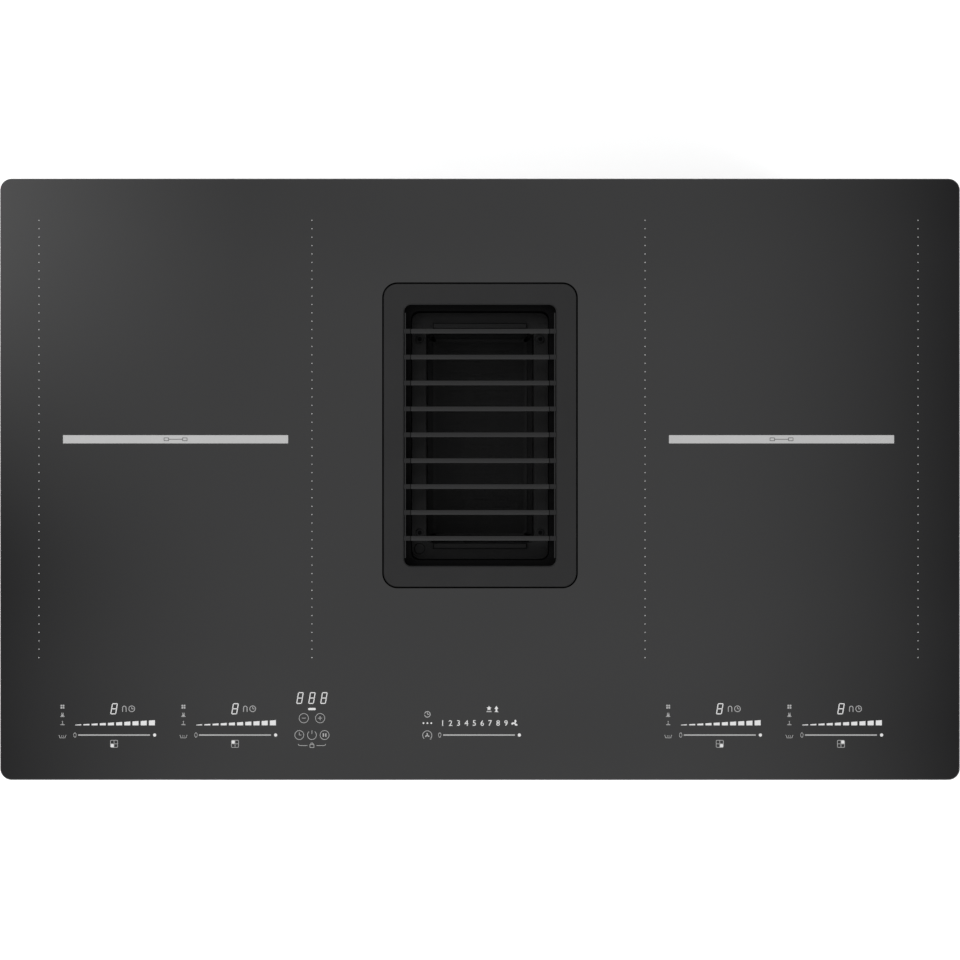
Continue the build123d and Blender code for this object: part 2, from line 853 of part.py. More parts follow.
def housing_screws():
    part = Rot(180, 0, 0) * screw(ear_thickness + 3 * sheet)
    return [Pos(*place, case_bottom - ear_thickness) * part for place in ear_places()]


def spout_screw_places():
    """Screw centres on the rear wall, as (x, z)."""
    duct_x, duct_z = duct_centre()
    x = duct_width / 2 + duct_flange / 2
    return [(duct_x + sx * x, duct_z + sz * duct_height * 0.36) for sx in (-1, 1) for sz in (-1, 1)]


def spout_holes(radius):
    bar = Rot(90, 0, 0) * Cylinder(radius + screw_gap, 6 * housing_wall)
    return [Pos(x, housing_y1, z) * bar for x, z in spout_screw_places()]


def outlet_spout():
    """Rectangular duct collar on the rear wall of the housing."""
    duct_x, duct_z = duct_centre()
    flange = Box(duct_width + 2 * duct_flange, scroll_wall, duct_height + duct_flange)
    flange = fillet(flange.edges().filter_by(Axis.Y), duct_corner)
    collar = Box(duct_width, duct_length, duct_height)
    collar = fillet(collar.edges().filter_by(Axis.Y), duct_corner)
    bore = Box(duct_width - 2 * scroll_wall, duct_length + 2 * scroll_wall, duct_height - 2 * scroll_wall)
    bore = fillet(bore.edges().filter_by(Axis.Y), duct_corner - scroll_wall)
    y = housing_y1
    spout = Pos(duct_x, y + scroll_wall / 2, duct_z) * flange
    spout += Pos(duct_x, y + duct_length / 2, duct_z) * collar
    spout -= Pos(duct_x, y + duct_length / 2, duct_z) * bore
    return spout - spout_holes(m4_shank)


def spout_screws():
    part = Rot(-90, 0, 0) * screw(scroll_wall + housing_wall - slide_gap)
    return [Pos(x, housing_y1 + scroll_wall, z) * part for x, z in spout_screw_places()]


# ---------------------------------------------------------------- blower scroll

def scroll_outline(wall=0.0):
    """The blower's snail outline in place, with its flared outlet on the rear wall."""
    outlet = duct_width - 2 * scroll_wall
    reach = housing_y1 - housing_wall - blower_y
    face = spiral_face(spiral_radius, scroll_growth, tongue_angle, outlet, reach, wall)
    return Pos(blower_x, blower_y, 0) * face


def isolator_places():
    half = spiral_radius * 0.6
    return [(blower_x + sx * half, blower_y + sy * half) for sx in (-1, 1) for sy in (-1, 1)]


def scroll_body():
    outer = extrude(Pos(0, 0, scroll_bottom) * scroll_outline(scroll_wall), amount=duct_height - scroll_wall)
    room = extrude(Pos(0, 0, scroll_bottom + scroll_wall) * scroll_outline(), amount=duct_height)
    body = outer - room
    body -= [disc(p, m4_shank + screw_gap, scroll_bottom, scroll_bottom + scroll_wall) for p in isolator_places()]
    return body


def scroll_cover():
    top = scroll_top
    plate = extrude(Pos(0, 0, top - scroll_wall) * scroll_outline(scroll_wall), amount=scroll_wall)
    plate += bellmouth(top)
    return plate - disc((blower_x, blower_y), wheel_eye, top - scroll_wall, top)


def bellmouth(level):
    """Rounded lip around the eye of the scroll."""
    tube = Pos(wheel_eye + scroll_wall, 0, 0) * Circle(scroll_wall)
    lip = Pos(0, 0, level + bellmouth_rise - scroll_wall) * revolve(Plane.XZ * tube, Axis.Z)
    neck = pipe((0, 0), wheel_eye + scroll_wall, wheel_eye, level - scroll_wall, level + bellmouth_rise - scroll_wall)
    return Pos(blower_x, blower_y, 0) * (lip + neck)


def isolators():
    """Rubber feet between the scroll and the housing floor."""
    feet = []
    for place in isolator_places():
        foot = disc(place, isolator_radius, housing_wall, scroll_bottom)
        waist = pipe(place, isolator_radius + 1, isolator_radius - 1.5, housing_wall + 2, scroll_bottom - 2)
        feet.append(foot - waist - disc(place, m4_shank + screw_gap, housing_wall, scroll_bottom))
    return feet


def isolator_screws():
    part = screw(isolator_height * 0.8)
    return [Pos(*place, scroll_bottom + scroll_wall) * part for place in isolator_places()]


# ---------------------------------------------------------------- motor and wheel

motor_base_low = scroll_bottom + scroll_wall
motor_base_top = motor_base_low + motor_foot
can_low = motor_base_top + 2 * running_gap
can_top = can_low + motor_can_height
wheel_low = can_low
wheel_top = wheel_low + wheel_height
tube_radius = bearing_radius + tube_wall
stator_low = can_low + can_wall + winding_end + slide_gap
stator_high = stator_low + stator_height
bearing_low = motor_base_top + running_gap
bearing_high = can_top - can_wall - running_gap - bearing_height
hub_top = can_top + hub_wall
nut_top = hub_top + nut_height
shaft_top = nut_top + 1


def motor_base():
    """Foot plate with the bearing tube that carries the stator."""
    foot = disc((0, 0), motor_radius + motor_foot_rim, motor_base_low, motor_base_top)
    hole = disc((motor_radius + motor_foot_rim / 2, 0), m4_shank, motor_base_low, motor_base_top)
    foot -= [Rot(0, 0, 120 * k) * hole for k in range(3)]
    tube = disc((0, 0), tube_radius, motor_base_low, bearing_high + bearing_height)
    body = foot + tube
    body -= disc((0, 0), shaft_radius + running_gap, motor_base_low, can_top)
    body -= disc((0, 0), bearing_radius, bearing_low, bearing_low + bearing_height)
    body -= disc((0, 0), shaft_radius + 2.5, bearing_low + bearing_height, bearing_high)
    return Pos(blower_x, blower_y, 0) * (body - disc((0, 0), bearing_radius, bearing_high, can_top))


def motor_bearings():
    rings = []
    for low in (bearing_low, bearing_high):
        high = low + bearing_height
        ring = pipe((0, 0), bearing_radius, shaft_radius + press_play, low, high)
        race = (bearing_radius - shaft_radius) * 0.3
        groove = pipe((0, 0), bearing_radius - race, shaft_radius + race, high - slide_gap, high)
        rings.append(Pos(blower_x, blower_y, 0) * (ring - groove))
    return rings


def motor_stator():
    """Laminated core with a wound tooth for each slot."""
    outer = motor_radius - can_wall - 2 * running_gap
    core = pipe((0, 0), tube_radius + yoke, tube_radius + press_play, stator_low, stator_high)
    shoe = pipe((0, 0), outer, outer - shoe_thickness, stator_low, stator_high)
    winding_low, winding_high = stator_low - winding_end, stator_high + winding_end
    inner = tube_radius + yoke - 1
    half = tooth_width / 2
    side = half + winding_side
    teeth, coils = [], []
    for k in range(stator_teeth):
        turn = Rot(0, 0, 360 * k / stator_teeth)
        teeth.append(turn * span(inner, outer - 1, -half, half, stator_low, stator_high))
        coil = span(inner + 2, outer - shoe_thickness - 1, -side, side, winding_low, winding_high, 1)
        coils.append(turn * (coil - span(inner, outer, -half, half, stator_low, stator_high)))
        gap = turn * Rot(0, 0, 180 / stator_teeth)
        reach = (outer - shoe_thickness - 1, outer + 1)
        shoe -= gap * span(*reach, -shoe_gap / 2, shoe_gap / 2, stator_low, stator_high)
    here = Pos(blower_x, blower_y, 0)
    return here * (core + shoe + teeth), [here * coil for coil in coils]


def motor_shaft():
    return Pos(blower_x, blower_y, 0) * disc((0, 0), shaft_radius, motor_base_low + 1, shaft_top)


def motor_can():
    """Rotor cup, open below, with the magnets' ring inside."""
    cup = disc((0, 0), motor_radius, can_low, can_top)
    cup -= disc((0, 0), motor_radius - can_wall, can_low, can_top - can_wall)
    cup -= disc((0, 0), shaft_radius + press_play, can_low, can_top)
    vent = disc((motor_radius * 0.6, 0), motor_radius * 0.1, can_low, can_top)
    return Pos(blower_x, blower_y, 0) * (cup - [Rot(0, 0, 60 * k) * vent for k in range(6)])


def blower_wheel():
    """Forward-curved wheel: back plate, hub over the motor can, blades and front ring."""
    hub_inner = motor_radius + rim_gap
    low = wheel_low
    back = disc((0, 0), wheel_radius, low, low + hub_wall)
    hub = disc((0, 0), hub_inner + hub_wall, low, hub_top)
    body = back + hub - disc((0, 0), hub_inner, low, can_top)
    body -= disc((0, 0), shaft_radius + press_play, can_top, hub_top)
    ring = pipe((0, 0), wheel_radius, wheel_radius - 2 * hub_wall, wheel_top - 1.5 * hub_wall, wheel_top)
    outer = wheel_radius - slide_gap
    middle = (wheel_eye + outer) / 2
    start, bend, end = [
        (radius * cos(radians(turn)), radius * sin(radians(turn)))
        for radius, turn in ((wheel_eye, 0), (middle, 2), (outer, 7.5))
    ]
    bow = ThreePointArc(start, bend, end)
    vane = extrude(Pos(0, 0, low + hub_wall / 2) * trace(bow, blade_sheet), amount=wheel_height - hub_wall)
    vanes = [Rot(0, 0, 360 * k / wheel_blades) * vane for k in range(wheel_blades)]
    return Pos(blower_x, blower_y, 0) * (body + ring + vanes)


def wheel_nut():
    nut = extrude(Pos(0, 0, hub_top) * RegularPolygon(nut_radius, 6), amount=nut_height)
    bore = disc((0, 0), shaft_radius + press_play, hub_top, nut_top)
    return Pos(blower_x, blower_y, 0) * (nut - bore)


# ---------------------------------------------------------------- induction coils

def coil_centres():
    """(side, end, x, y) of the four coils."""
    return [
        (side, end, sx * zone_x, zone_centre_y + sy * coil_pitch_y / 2)
        for side, sx in (("left", -1), ("right", 1))
        for end, sy in (("front", -1), ("rear", 1))
    ]


def coil_winding():
    """Flat spiral of litz wire in a rounded rectangle, from the inside out."""
    half_x = coil_width / 2 - coil_band
    half_y = coil_depth / 2 - coil_band
    quarter = coil_pitch / 4
    offset = [(half_x if k % 2 == 0 else half_y) + quarter * k for k in range(4 * coil_turns + 1)]
    signs = [(1, 1), (-1, 1), (-1, -1), (1, -1)]
    points, bends = [(half_x, 0)], []
    for k in range(4 * coil_turns):
        sx, sy = signs[k % 4]
        x, y = (offset[k], offset[k + 1]) if k % 2 == 0 else (offset[k + 1], offset[k])
        points.append((sx * x, sy * y))
        bends.append(coil_inner_corner + quarter * k)
    points.append((offset[-1], 0))
    path = FilletPolyline(*points, radius=bends)
    section = Plane((half_x, 0, 0), z_dir=(0, 1, 0)) * Circle(litz_diameter / 2)
    return Pos(0, 0, former_top + coil_play + litz_diameter / 2) * sweep(section, path=path)


def coil_former():
    """Moulded carrier: a plate with windows and a raised edge."""
    size = (coil_width + 2 * former_rim, coil_depth + 2 * former_rim)
    inner = (coil_width + former_rim / 2, coil_depth + former_rim / 2)
    corner = coil_corner + former_rim
    plate = slab((0, 0), size, ferrite_top, former_top, corner)
    edge = slab((0, 0), size, former_top, former_top + litz_diameter * 0.6, corner)
    edge -= slab((0, 0), inner, former_top, glass_under, coil_corner + former_rim / 4)
    plate += edge
    plate -= disc((0, 0), sensor_radius + slide_gap, ferrite_top, former_top)
    half = ferrite_width / 2
    window = span(coil_depth * 0.17, coil_depth * 0.375, -half, half, ferrite_top, former_top, half * 0.9)
    return plate - [Rot(0, 0, 22.5 + 45 * k) * window for k in range(8)]


def coil_ferrites():
    far = coil_depth / 2 - ferrite_setback
    half = ferrite_width / 2
    bar = span(far - ferrite_length, far, -half, half, plate_top, ferrite_top)
    return [Rot(0, 0, 45 * k) * bar for k in range(8)]


def mica_sheet():
    sheet_piece = slab((0, 0), (coil_width + 2, coil_depth + 2), mica_under, glass_under, coil_corner)
    return sheet_piece - disc((0, 0), sensor_radius + slide_gap, mica_under, glass_under)


def pan_sensor():
    """Temperature probe that stands in the middle of a coil and touches the glass."""
    foot = disc((0, 0), sensor_radius + sensor_foot, plate_top, plate_top + sensor_foot / 2)
    body = disc((0, 0), sensor_radius - 1, plate_top, glass_under)
    return fillet((foot + body).edges().group_by(Axis.Z)[-1], 1)


def coil_plate(side):
    """Aluminium plate that presses the coils up to the glass, on two bent legs."""
    x, y = side * zone_x, zone_centre_y
    low = plate_top - plate_sheet
    plate = slab((x, y), (plate_width, plate_depth), low, plate_top)
    plate -= throat_room()
    for end in (-1, 1):
        leg_y = y + end * (plate_depth - plate_sheet) / 2
        for share in (-0.3, 0.3):
            leg_x = x + share * plate_width
            plate += slab((leg_x, leg_y), (plate_leg, plate_sheet), case_floor, plate_top)
            foot_y = y + end * (plate_depth - plate_foot) / 2
            plate += slab((leg_x, foot_y), (plate_leg, plate_foot), case_floor, case_floor + plate_sheet)
    return plate


def throat_room():
    """Space that the plates leave around the throat."""
    room_x = upper_well_half_x + throat_wall + plate_gap
    room_y = upper_well_half_y + throat_wall + plate_gap
    return slab((0, intake_y), (2 * room_x, 2 * room_y), case_floor, glass_top)


# ---------------------------------------------------------------- power electronics

fan_reach = fan_wheel_radius + fan_clearance + 3.5 * fan_growth + fan_wall
board_rear = board_front + board_depth
fan_y = board_rear + fan_reach + fan_sink_room


def power_board(side):
    """Circuit board on six spacers."""
    x = side * zone_x
    y = board_front + board_depth / 2
    board = slab((x, y), (board_width, board_depth), board_under, board_top, 3)
    spacers = []
    for sx in (-1, 1):
        for share in (-1, 0, 1):
            at = (x + sx * (board_width / 2 - spacer_inset), y + share * (board_depth / 2 - spacer_inset))
            spacers.append(disc(at, spacer_radius, case_floor, board_under))
            board -= disc(at, spacer_hole, board_under, board_top)
    return board, spacers


def heat_sink(side):
    """Extruded aluminium sink with fins along the air stream of the fan."""
    x = side * zone_x
    rear = board_rear - sink_base
    front = rear - sink_depth
    base = span(x - sink_width / 2, x + sink_width / 2, front, rear, board_top, board_top + sink_base)
    fins = []
    for k in range(sink_fins):
        fin_x = x + (k - (sink_fins - 1) / 2) * (sink_width - fin_thickness) / (sink_fins - 1)
        fins.append(span(
            fin_x - fin_thickness / 2, fin_x + fin_thickness / 2,
            front, rear, board_top, board_top + sink_height,
        ))
    return base + fins


def board_components(side):
    """Filter capacitors, chokes, relays and the transistors beside the sink."""
    x, low = side * zone_x, board_top
    front = board_front
    reach = side * (sink_width / 2 + component_room)
    near, far = x - reach, x + reach
    pieces = []
    for k in range(4):
        y = front + component_pitch * (k + 0.7)
        pieces.append(slab((far, y), capacitor[:2], low, low + capacitor[2], 2))
        pieces.append(slab((near, y - can_radius), relay[:2], low, low + relay[2], 1))
        pieces.append(disc((near, y + component_pitch * 0.3), can_radius, low, low + can_height))
    outer = side * (board_width / 2 - component_room)
    lift = choke_radius + choke_wire
    for share in (0.3, 0.65):
        at = (x + outer, front + share * board_depth)
        pieces.append(Pos(*at, low + lift) * Rot(90, 0, 0) * Torus(choke_radius, choke_wire))
    at = (x - outer, front + 0.3 * board_depth)
    return [*pieces, slab(at, connector[:2], low, low + connector[2], 1)]


def fan_case():
    """Small scroll with its inlet below and its outlet facing the heat sink."""
    reach = fan_reach + fan_sink_room * 2 / 3
    first = fan_wheel_radius + fan_clearance
    outer = extrude(spiral_face(first, fan_growth, 60, fan_outlet, reach, fan_wall), amount=fan_height)
    room = extrude(
        Pos(0, 0, fan_wall) * spiral_face(first, fan_growth, 60, fan_outlet, reach),
        amount=fan_height - 2 * fan_wall,
    )
    mouth_radius = fan_wheel_radius - fan_clearance
    mouth = disc((0, 0), mouth_radius, 0, fan_wall)
    arm = span(0, mouth_radius + 1, -fan_wall, fan_wall, 0, fan_wall)
    arms = [Rot(0, 0, 120 * k) * arm for k in range(3)]
    hub = disc((0, 0), fan_hub * 0.8, 0, fan_wall)
    hub += disc((0, 0), fan_pin + fan_sleeve, 0, 2 * fan_wall - shoulder_gap)
    hub += disc((0, 0), fan_pin, 0, fan_height - 3 * fan_wall)
    return Rot(0, 0, 180) * (outer - room - mouth + arms + hub)


def fan_wheel():
    """Hub cup and curved blades, which turn on the pin of the fan case."""
    low, high = 2 * fan_wall, fan_height - 2 * fan_wall
    wall = fan_hub_wall
    top = high - 2 * wall
    cup = disc((0, 0), fan_hub, low, top)
    cup -= pipe((0, 0), fan_hub - wall, fan_pin + fan_sleeve, low, top - wall)
    cup -= disc((0, 0), fan_pin + pin_play, low, top)
    plate = pipe((0, 0), fan_wheel_radius, fan_hub - wall / 2, top - wall, top)
    radius = fan_wheel_radius
    bow = ThreePointArc((radius * 0.72, 0), (radius * 0.87, radius * 0.025), (radius * 0.98, radius * 0.125))
    vane = extrude(Pos(0, 0, low + wall / 2) * trace(bow, fan_blade_sheet), amount=high - low - wall / 2)
    ring = pipe((0, 0), radius, radius - fan_sleeve, low, low + wall)
    return cup + plate + ring + [Rot(0, 0, 360 * k / fan_blades) * vane for k in range(fan_blades)]


# ---------------------------------------------------------------- touch control

def slider_centres():
    """Middles of the four power sliders, and of the one for the extractor."""
    places = [side * zone_x + k * slider_offset for side in (-1, 1) for k in (-1, 1)]
    return places + [0.0]


control_front = control_rear - control_depth
control_middle = (control_front + control_rear) / 2


def control_carrier():
    """Shallow tray, open to the glass, that holds the touch board."""
    low = control_board_top - board_thickness - control_wall
    size = (control_width, control_depth)
    tray = slab((0, control_middle), size, low, glass_under, 4)
    inner = (control_width - 2 * control_wall, control_depth - 2 * control_wall)
    return tray - slab((0, control_middle), inner, low + control_wall, glass_under, 2.5)


def control_board():
    size = (control_width - 2 * control_wall - slide_gap, control_depth - 2 * control_wall - slide_gap)
    return slab((0, control_middle), size, control_board_top - board_thickness, control_board_top, 2)


def display_blocks():
    """Digit displays over the sliders and the timer's three digits, up to the glass."""
    spots = [(x, control_middle - digit_setback) for x in slider_centres()[:4]]
    pitch = digit_width + digit_gap
    spots += [(timer_x + k * pitch, control_middle - timer_setback) for k in (-1, 0, 1)]
    size = (digit_width, digit_depth)
    return [slab(spot, size, control_board_top, glass_under) for spot in spots]


def touch_springs():
    """Contact springs between the touch board and the glass."""
    height = glass_under - control_board_top - 2 * touch_play - touch_wire
    coil = Helix(pitch=1.8, height=height, radius=touch_radius - touch_wire / 2)
    start = Plane(coil @ 0, z_dir=coil % 0)
    spring = sweep(start * Circle(touch_wire / 2), path=coil, is_frenet=True)
    y = control_front + control_wall + touch_radius + touch_setback
    low = control_board_top + touch_play + touch_wire / 2
    springs = []
    for x in slider_centres():
        for k in range(-1, 2):
            springs.append(Pos(x + touch_pitch * k, y, low) * spring)
    return springs


# ---------------------------------------------------------------- mains connection

terminal_low = case_bottom - terminal_height
hinge_y = terminal_y - terminal_depth / 2 - hinge_pin - hinge_setback
hinge_z = terminal_low + hinge_pin + hinge_wall


def lug_places():
    """Screws that hold the terminal box under the case."""
    x = terminal_width / 2 + 2 * terminal_lug
    return [(terminal_x + side * x, terminal_y) for side in (-1, 1)]


def terminal_box():
    """Open-bottomed box under the case, with a cable entry at the rear and hinge ears."""
    at = (terminal_x, terminal_y)
    wall = terminal_wall
    low = terminal_low + terminal_lid
    box = slab(at, (terminal_width, terminal_depth), low, case_bottom, 3)
    knuckle_radius = hinge_pin + hinge_wall
    ear_top = hinge_z + hinge_ear_rise
    for side in (-1, 1):
        lug_x = terminal_x + side * (terminal_width / 2 + m4_shank)
        size = (ear_size + 2 * m4_shank, ear_size)
        box += slab((lug_x, terminal_y), size, case_bottom - terminal_lug, case_bottom, m4_shank)
        ear_x = terminal_x + side * (terminal_width / 2 - hinge_ear_inset)
        depth = terminal_y - hinge_y
        box += slab((ear_x, (hinge_y + terminal_y) / 2), (hinge_ear, depth), hinge_z - 1, ear_top)
        box += Pos(ear_x, hinge_y, hinge_z) * Rot(0, 90, 0) * Cylinder(knuckle_radius, hinge_ear)
        box += slab((ear_x, hinge_y), (hinge_ear, 2 * knuckle_radius), hinge_z, ear_top)
    room = (terminal_width - 2 * wall, terminal_depth - 2 * wall)
    box -= slab(at, room, terminal_low, case_bottom - wall, 2)
    bore = Rot(90, 0, 0) * Cylinder(gland_radius - 2, 8 * wall)
    box -= Pos(terminal_x, terminal_y + terminal_depth / 2, gland_z) * bore
    pin_hole = Rot(0, 90, 0) * Cylinder(hinge_pin + pin_play, terminal_width)
    box -= Pos(terminal_x, hinge_y, hinge_z) * pin_hole
    low = case_bottom - terminal_lug
    return box - [disc(p, m4_shank + screw_gap, low, case_bottom) for p in lug_places()]


gland_z = terminal_low + terminal_lid + terminal_height * 0.42


def terminal_cover():
    """Lid below the box, with a hinge pin that snaps into the ears."""
    at = (terminal_x, terminal_y)
    front = terminal_y - terminal_depth / 2
    lid = slab(at, (terminal_width, terminal_depth), terminal_low, terminal_low + terminal_lid - hinge_gap, 3)
    half = terminal_width / 2 - hinge_ear_inset - hinge_ear / 2 - hinge_gap
    inside = front + 2 * hinge_setback
    high = terminal_low + terminal_lid - hinge_gap
    arm = span(terminal_x - half, terminal_x + half, hinge_y, inside, terminal_low, high)
    axis = Pos(terminal_x, hinge_y, hinge_z) * Rot(0, 90, 0)
    barrel = Cylinder(hinge_pin + hinge_wall, 2 * half)
    pin = Cylinder(hinge_pin, 2 * (half + hinge_ear))
    return lid + arm + axis * (barrel + pin)


def terminal_block():
    """Five-way screw terminal under the roof of the box."""
    high = case_bottom - terminal_wall
    low = high - block_height
    y = terminal_y - block_setback
    block = slab((terminal_x, y), (block_width, block_depth), low, high, 1)
    for k in range(-2, 3):
        x = terminal_x + terminal_pitch * k
        block -= disc((x, y), terminal_screw + hinge_gap, low, low + block_height / 3)
        block -= slab((x, y - block_depth / 2), (m3_shank, block_depth / 4), low, high)
    return block


def terminal_pins():
    """Clamping screws, one in each mouth of the block."""
    high = case_bottom - terminal_wall - block_height * 2 / 3
    low = high - block_height / 5
    y = terminal_y - block_setback
    return [disc((terminal_x + terminal_pitch * k, y), terminal_screw, low, high) for k in range(-2, 3)]


def cable_gland():
    """Screwed cable entry, with its bore along Y."""
    rear = terminal_y + terminal_depth / 2
    wall = terminal_wall
    neck = Cylinder(gland_radius - 2 - screw_gap, wall + 4, align=(Align.CENTER, Align.CENTER, Align.MAX))
    collar = extrude(RegularPolygon(gland_radius + 2, 6), amount=5)
    dome = Pos(0, 0, 5) * Cylinder(gland_radius, gland_length - wall - 9, align=(Align.CENTER, Align.CENTER, Align.MIN))
    dome = fillet(dome.edges().group_by(Axis.Z)[-1], 3)
    body = neck + collar + dome - Cylinder(gland_bore, 4 * gland_length)
    return Pos(terminal_x, rear, gland_z) * Rot(-90, 0, 0) * body


def terminal_screws():
    part = Rot(180, 0, 0) * screw(terminal_lug + 3 * sheet)
    return [Pos(*place, case_bottom - terminal_lug) * part for place in lug_places()]


# ---------------------------------------------------------------- the whole cooktop

def build_glass_and_case():
    end_rails, side_rails = rails()
    save("glass_plate", glass_plate())
    save("worktop_tape", *worktop_tape())
    save("glass_rails", *end_rails, *side_rails)
    save("hob_case", hob_case())
    save("case_screws", *case_screws(), *clip_screws())
    save("spring_clips", *spring_clips())


def build_intake():
    walls, floor = cassette_panels()
    save("intake_throat", intake_throat())
    save("intake_grille", intake_grille())
    save("grille_pads", *grille_pads())
    save("cassette_frame", cassette_frame())
    save("cassette_panels", *walls, *floor)
    save("cassette_screws", *cassette_screws())
    save("cassette_grips", *cassette_grips())
    save("filter_magnet", filter_magnet())
    save("drip_tray", drip_tray())


def build_blower():
    core, coils = motor_stator()
    save("blower_housing", blower_housing())
    save("housing_screws", *housing_screws(), *spout_screws())
    save("outlet_spout", outlet_spout())
    save("scroll_body", scroll_body())
    save("scroll_cover", scroll_cover())
    save("isolators", *isolators())
    save("isolator_screws", *isolator_screws())
    save("motor_base", motor_base())
    save("motor_bearings", *motor_bearings())
    save("stator_core", core)
    save("stator_coils", *coils)
    save("motor_shaft", motor_shaft())
    save("motor_can", motor_can())
    save("blower_wheel", blower_wheel())
    save("wheel_nut", wheel_nut())


def build_coils():
    winding, former = coil_winding(), coil_former()
    ferrites, mica, sensor = coil_ferrites(), mica_sheet(), pan_sensor()
    formers, bars, sheets, sensors = [], [], [], []
    for side, end, x, y in coil_centres():
        place = Pos(x, y, 0)
        save(f"coil_{side}_{end}", place * winding)
        formers.append(place * former)
        bars += [place * bar for bar in ferrites]
        sheets.append(place * mica)
        sensors.append(place * sensor)
    save("coil_formers", *formers)
    save("ferrite_bars", *bars)
    save("mica_sheets", *sheets)
    save("pan_sensors", *sensors)
    for name, side in (("left", -1), ("right", 1)):
        save(f"coil_plate_{name}", coil_plate(side))


def build_electronics():
    all_spacers = []
    for name, side in (("left", -1), ("right", 1)):
        board, spacers = power_board(side)
        all_spacers += spacers
        save(f"power_board_{name}", board)
        save(f"heat_sink_{name}", heat_sink(side))
        save(f"board_parts_{name}", *board_components(side))
        place = Pos(side * zone_x, fan_y, case_floor)
        save(f"fan_case_{name}", place * fan_case())
        save(f"fan_wheel_{name}", place * fan_wheel())
    save("board_spacers", *all_spacers)


def build_control():
    save("control_carrier", control_carrier())
    save("control_board", control_board())
    save("display_blocks", *display_blocks())
    save("touch_springs", *touch_springs())


def build_mains():
    save("terminal_box", terminal_box())
    save("terminal_cover", terminal_cover())
    save("terminal_block", terminal_block())
    save("terminal_screws", *terminal_screws(), *terminal_pins())
    save("cable_gland", cable_gland())


if __name__ == "__main__":
    build_glass_and_case()
    build_intake()
    build_blower()
    build_coils()
    build_electronics()
    build_control()
    build_mains()
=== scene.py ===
import json
import math
import bmesh
import bpy
from mathutils import Matrix, Vector


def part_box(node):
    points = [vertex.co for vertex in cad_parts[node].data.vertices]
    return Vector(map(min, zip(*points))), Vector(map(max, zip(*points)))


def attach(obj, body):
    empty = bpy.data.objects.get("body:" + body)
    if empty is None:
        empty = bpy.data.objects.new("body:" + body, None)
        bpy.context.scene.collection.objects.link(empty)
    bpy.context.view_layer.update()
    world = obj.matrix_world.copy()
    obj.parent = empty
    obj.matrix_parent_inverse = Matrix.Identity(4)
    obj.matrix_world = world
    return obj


# Downdraft induction cooktop: the CAD frame stays as it is and gets its finishes here,
# together with the marks on the glass and the small pieces that only the eye needs.

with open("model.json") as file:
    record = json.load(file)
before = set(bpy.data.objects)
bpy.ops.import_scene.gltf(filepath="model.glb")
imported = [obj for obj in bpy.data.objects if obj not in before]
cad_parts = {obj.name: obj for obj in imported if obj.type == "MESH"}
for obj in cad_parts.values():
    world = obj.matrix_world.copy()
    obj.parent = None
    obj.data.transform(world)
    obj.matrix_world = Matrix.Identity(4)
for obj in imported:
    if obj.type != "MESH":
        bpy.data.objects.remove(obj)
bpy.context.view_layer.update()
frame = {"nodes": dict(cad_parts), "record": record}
nodes = frame["nodes"]
print("frame loaded:", len(nodes), "nodes")


# Places that the pieces below take from the frame

glassLow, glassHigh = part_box("glass_plate")
grilleLow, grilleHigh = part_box("intake_grille")
mm = 0.001


# Shader groups: each takes a vector and a scale, and gives a tone and a height

def newGroup(name):
    tree = bpy.data.node_groups.new(name, "ShaderNodeTree")
    tree.interface.new_socket("Vector", in_out="INPUT", socket_type="NodeSocketVector")
    tree.interface.new_socket("Scale", in_out="INPUT", socket_type="NodeSocketFloat")
    for label in ("Tone", "Height"):
        tree.interface.new_socket(label, in_out="OUTPUT", socket_type="NodeSocketFloat")
    start, end = tree.nodes.new("NodeGroupInput"), tree.nodes.new("NodeGroupOutput")
    return tree, start.outputs["Vector"], start.outputs["Scale"], end


def join(tree, source, target):
    tree.links.new(source, target)


def endGroup(tree, end, tone, height):
    join(tree, tone, end.inputs["Tone"])
    join(tree, height, end.inputs["Height"])
    return tree


def setInputs(tree, node, values):  # numbers are set and sockets are linked
    for key, value in values.items():
        if isinstance(value, (int, float)):
            node.inputs[key].default_value = value
        elif value is not None:
            join(tree, value, node.inputs[key])


def mathNode(tree, operation, first, second, third=None):
    node = tree.nodes.new("ShaderNodeMath")
    node.operation = operation
    setInputs(tree, node, {0: first, 1: second, 2: third})
    return node.outputs[0]


def scaled(tree, scale, share):
    return mathNode(tree, "MULTIPLY", scale, share)


def weigh(tree, first, second, share):  # the first value by its share and the second by the rest
    rest = mathNode(tree, "MULTIPLY", second, round(1.0 - share, 6))
    return mathNode(tree, "MULTIPLY_ADD", first, share, rest)


def textureNode(tree, kind, vector, scale):
    node = tree.nodes.new("ShaderNodeTex" + kind)
    setInputs(tree, node, {"Vector": vector, "Scale": scale})
    return node


def noiseNode(tree, vector, scale, share, detail, roughness):
    node = textureNode(tree, "Noise", vector, scaled(tree, scale, share))
    setInputs(tree, node, {"Detail": detail, "Roughness": roughness})
    return node.outputs["Fac"]


def rangeNode(tree, value, fromLow, fromHigh, toLow=0.0, toHigh=1.0):
    node = tree.nodes.new("ShaderNodeMapRange")
    values = {"Value": value, "From Min": fromLow, "From Max": fromHigh, "To Min": toLow, "To Max": toHigh}
    setInputs(tree, node, values)
    return node.outputs["Result"]


def redPart(tree, colour):
    shade = tree.nodes.new("ShaderNodeSeparateColor")
    join(tree, colour, shade.inputs["Color"])
    return shade.outputs["Red"]


# Each noise is given by its share of the scale, its detail and its roughness

grain = {
    "fine": (1.0, 2.0, 0.55), "broad": (0.012, 4.0, 0.6), "cells": 0.6, "cellHeight": 0.5,
    "contrast": (0.35, 0.65), "share": 0.35,
}


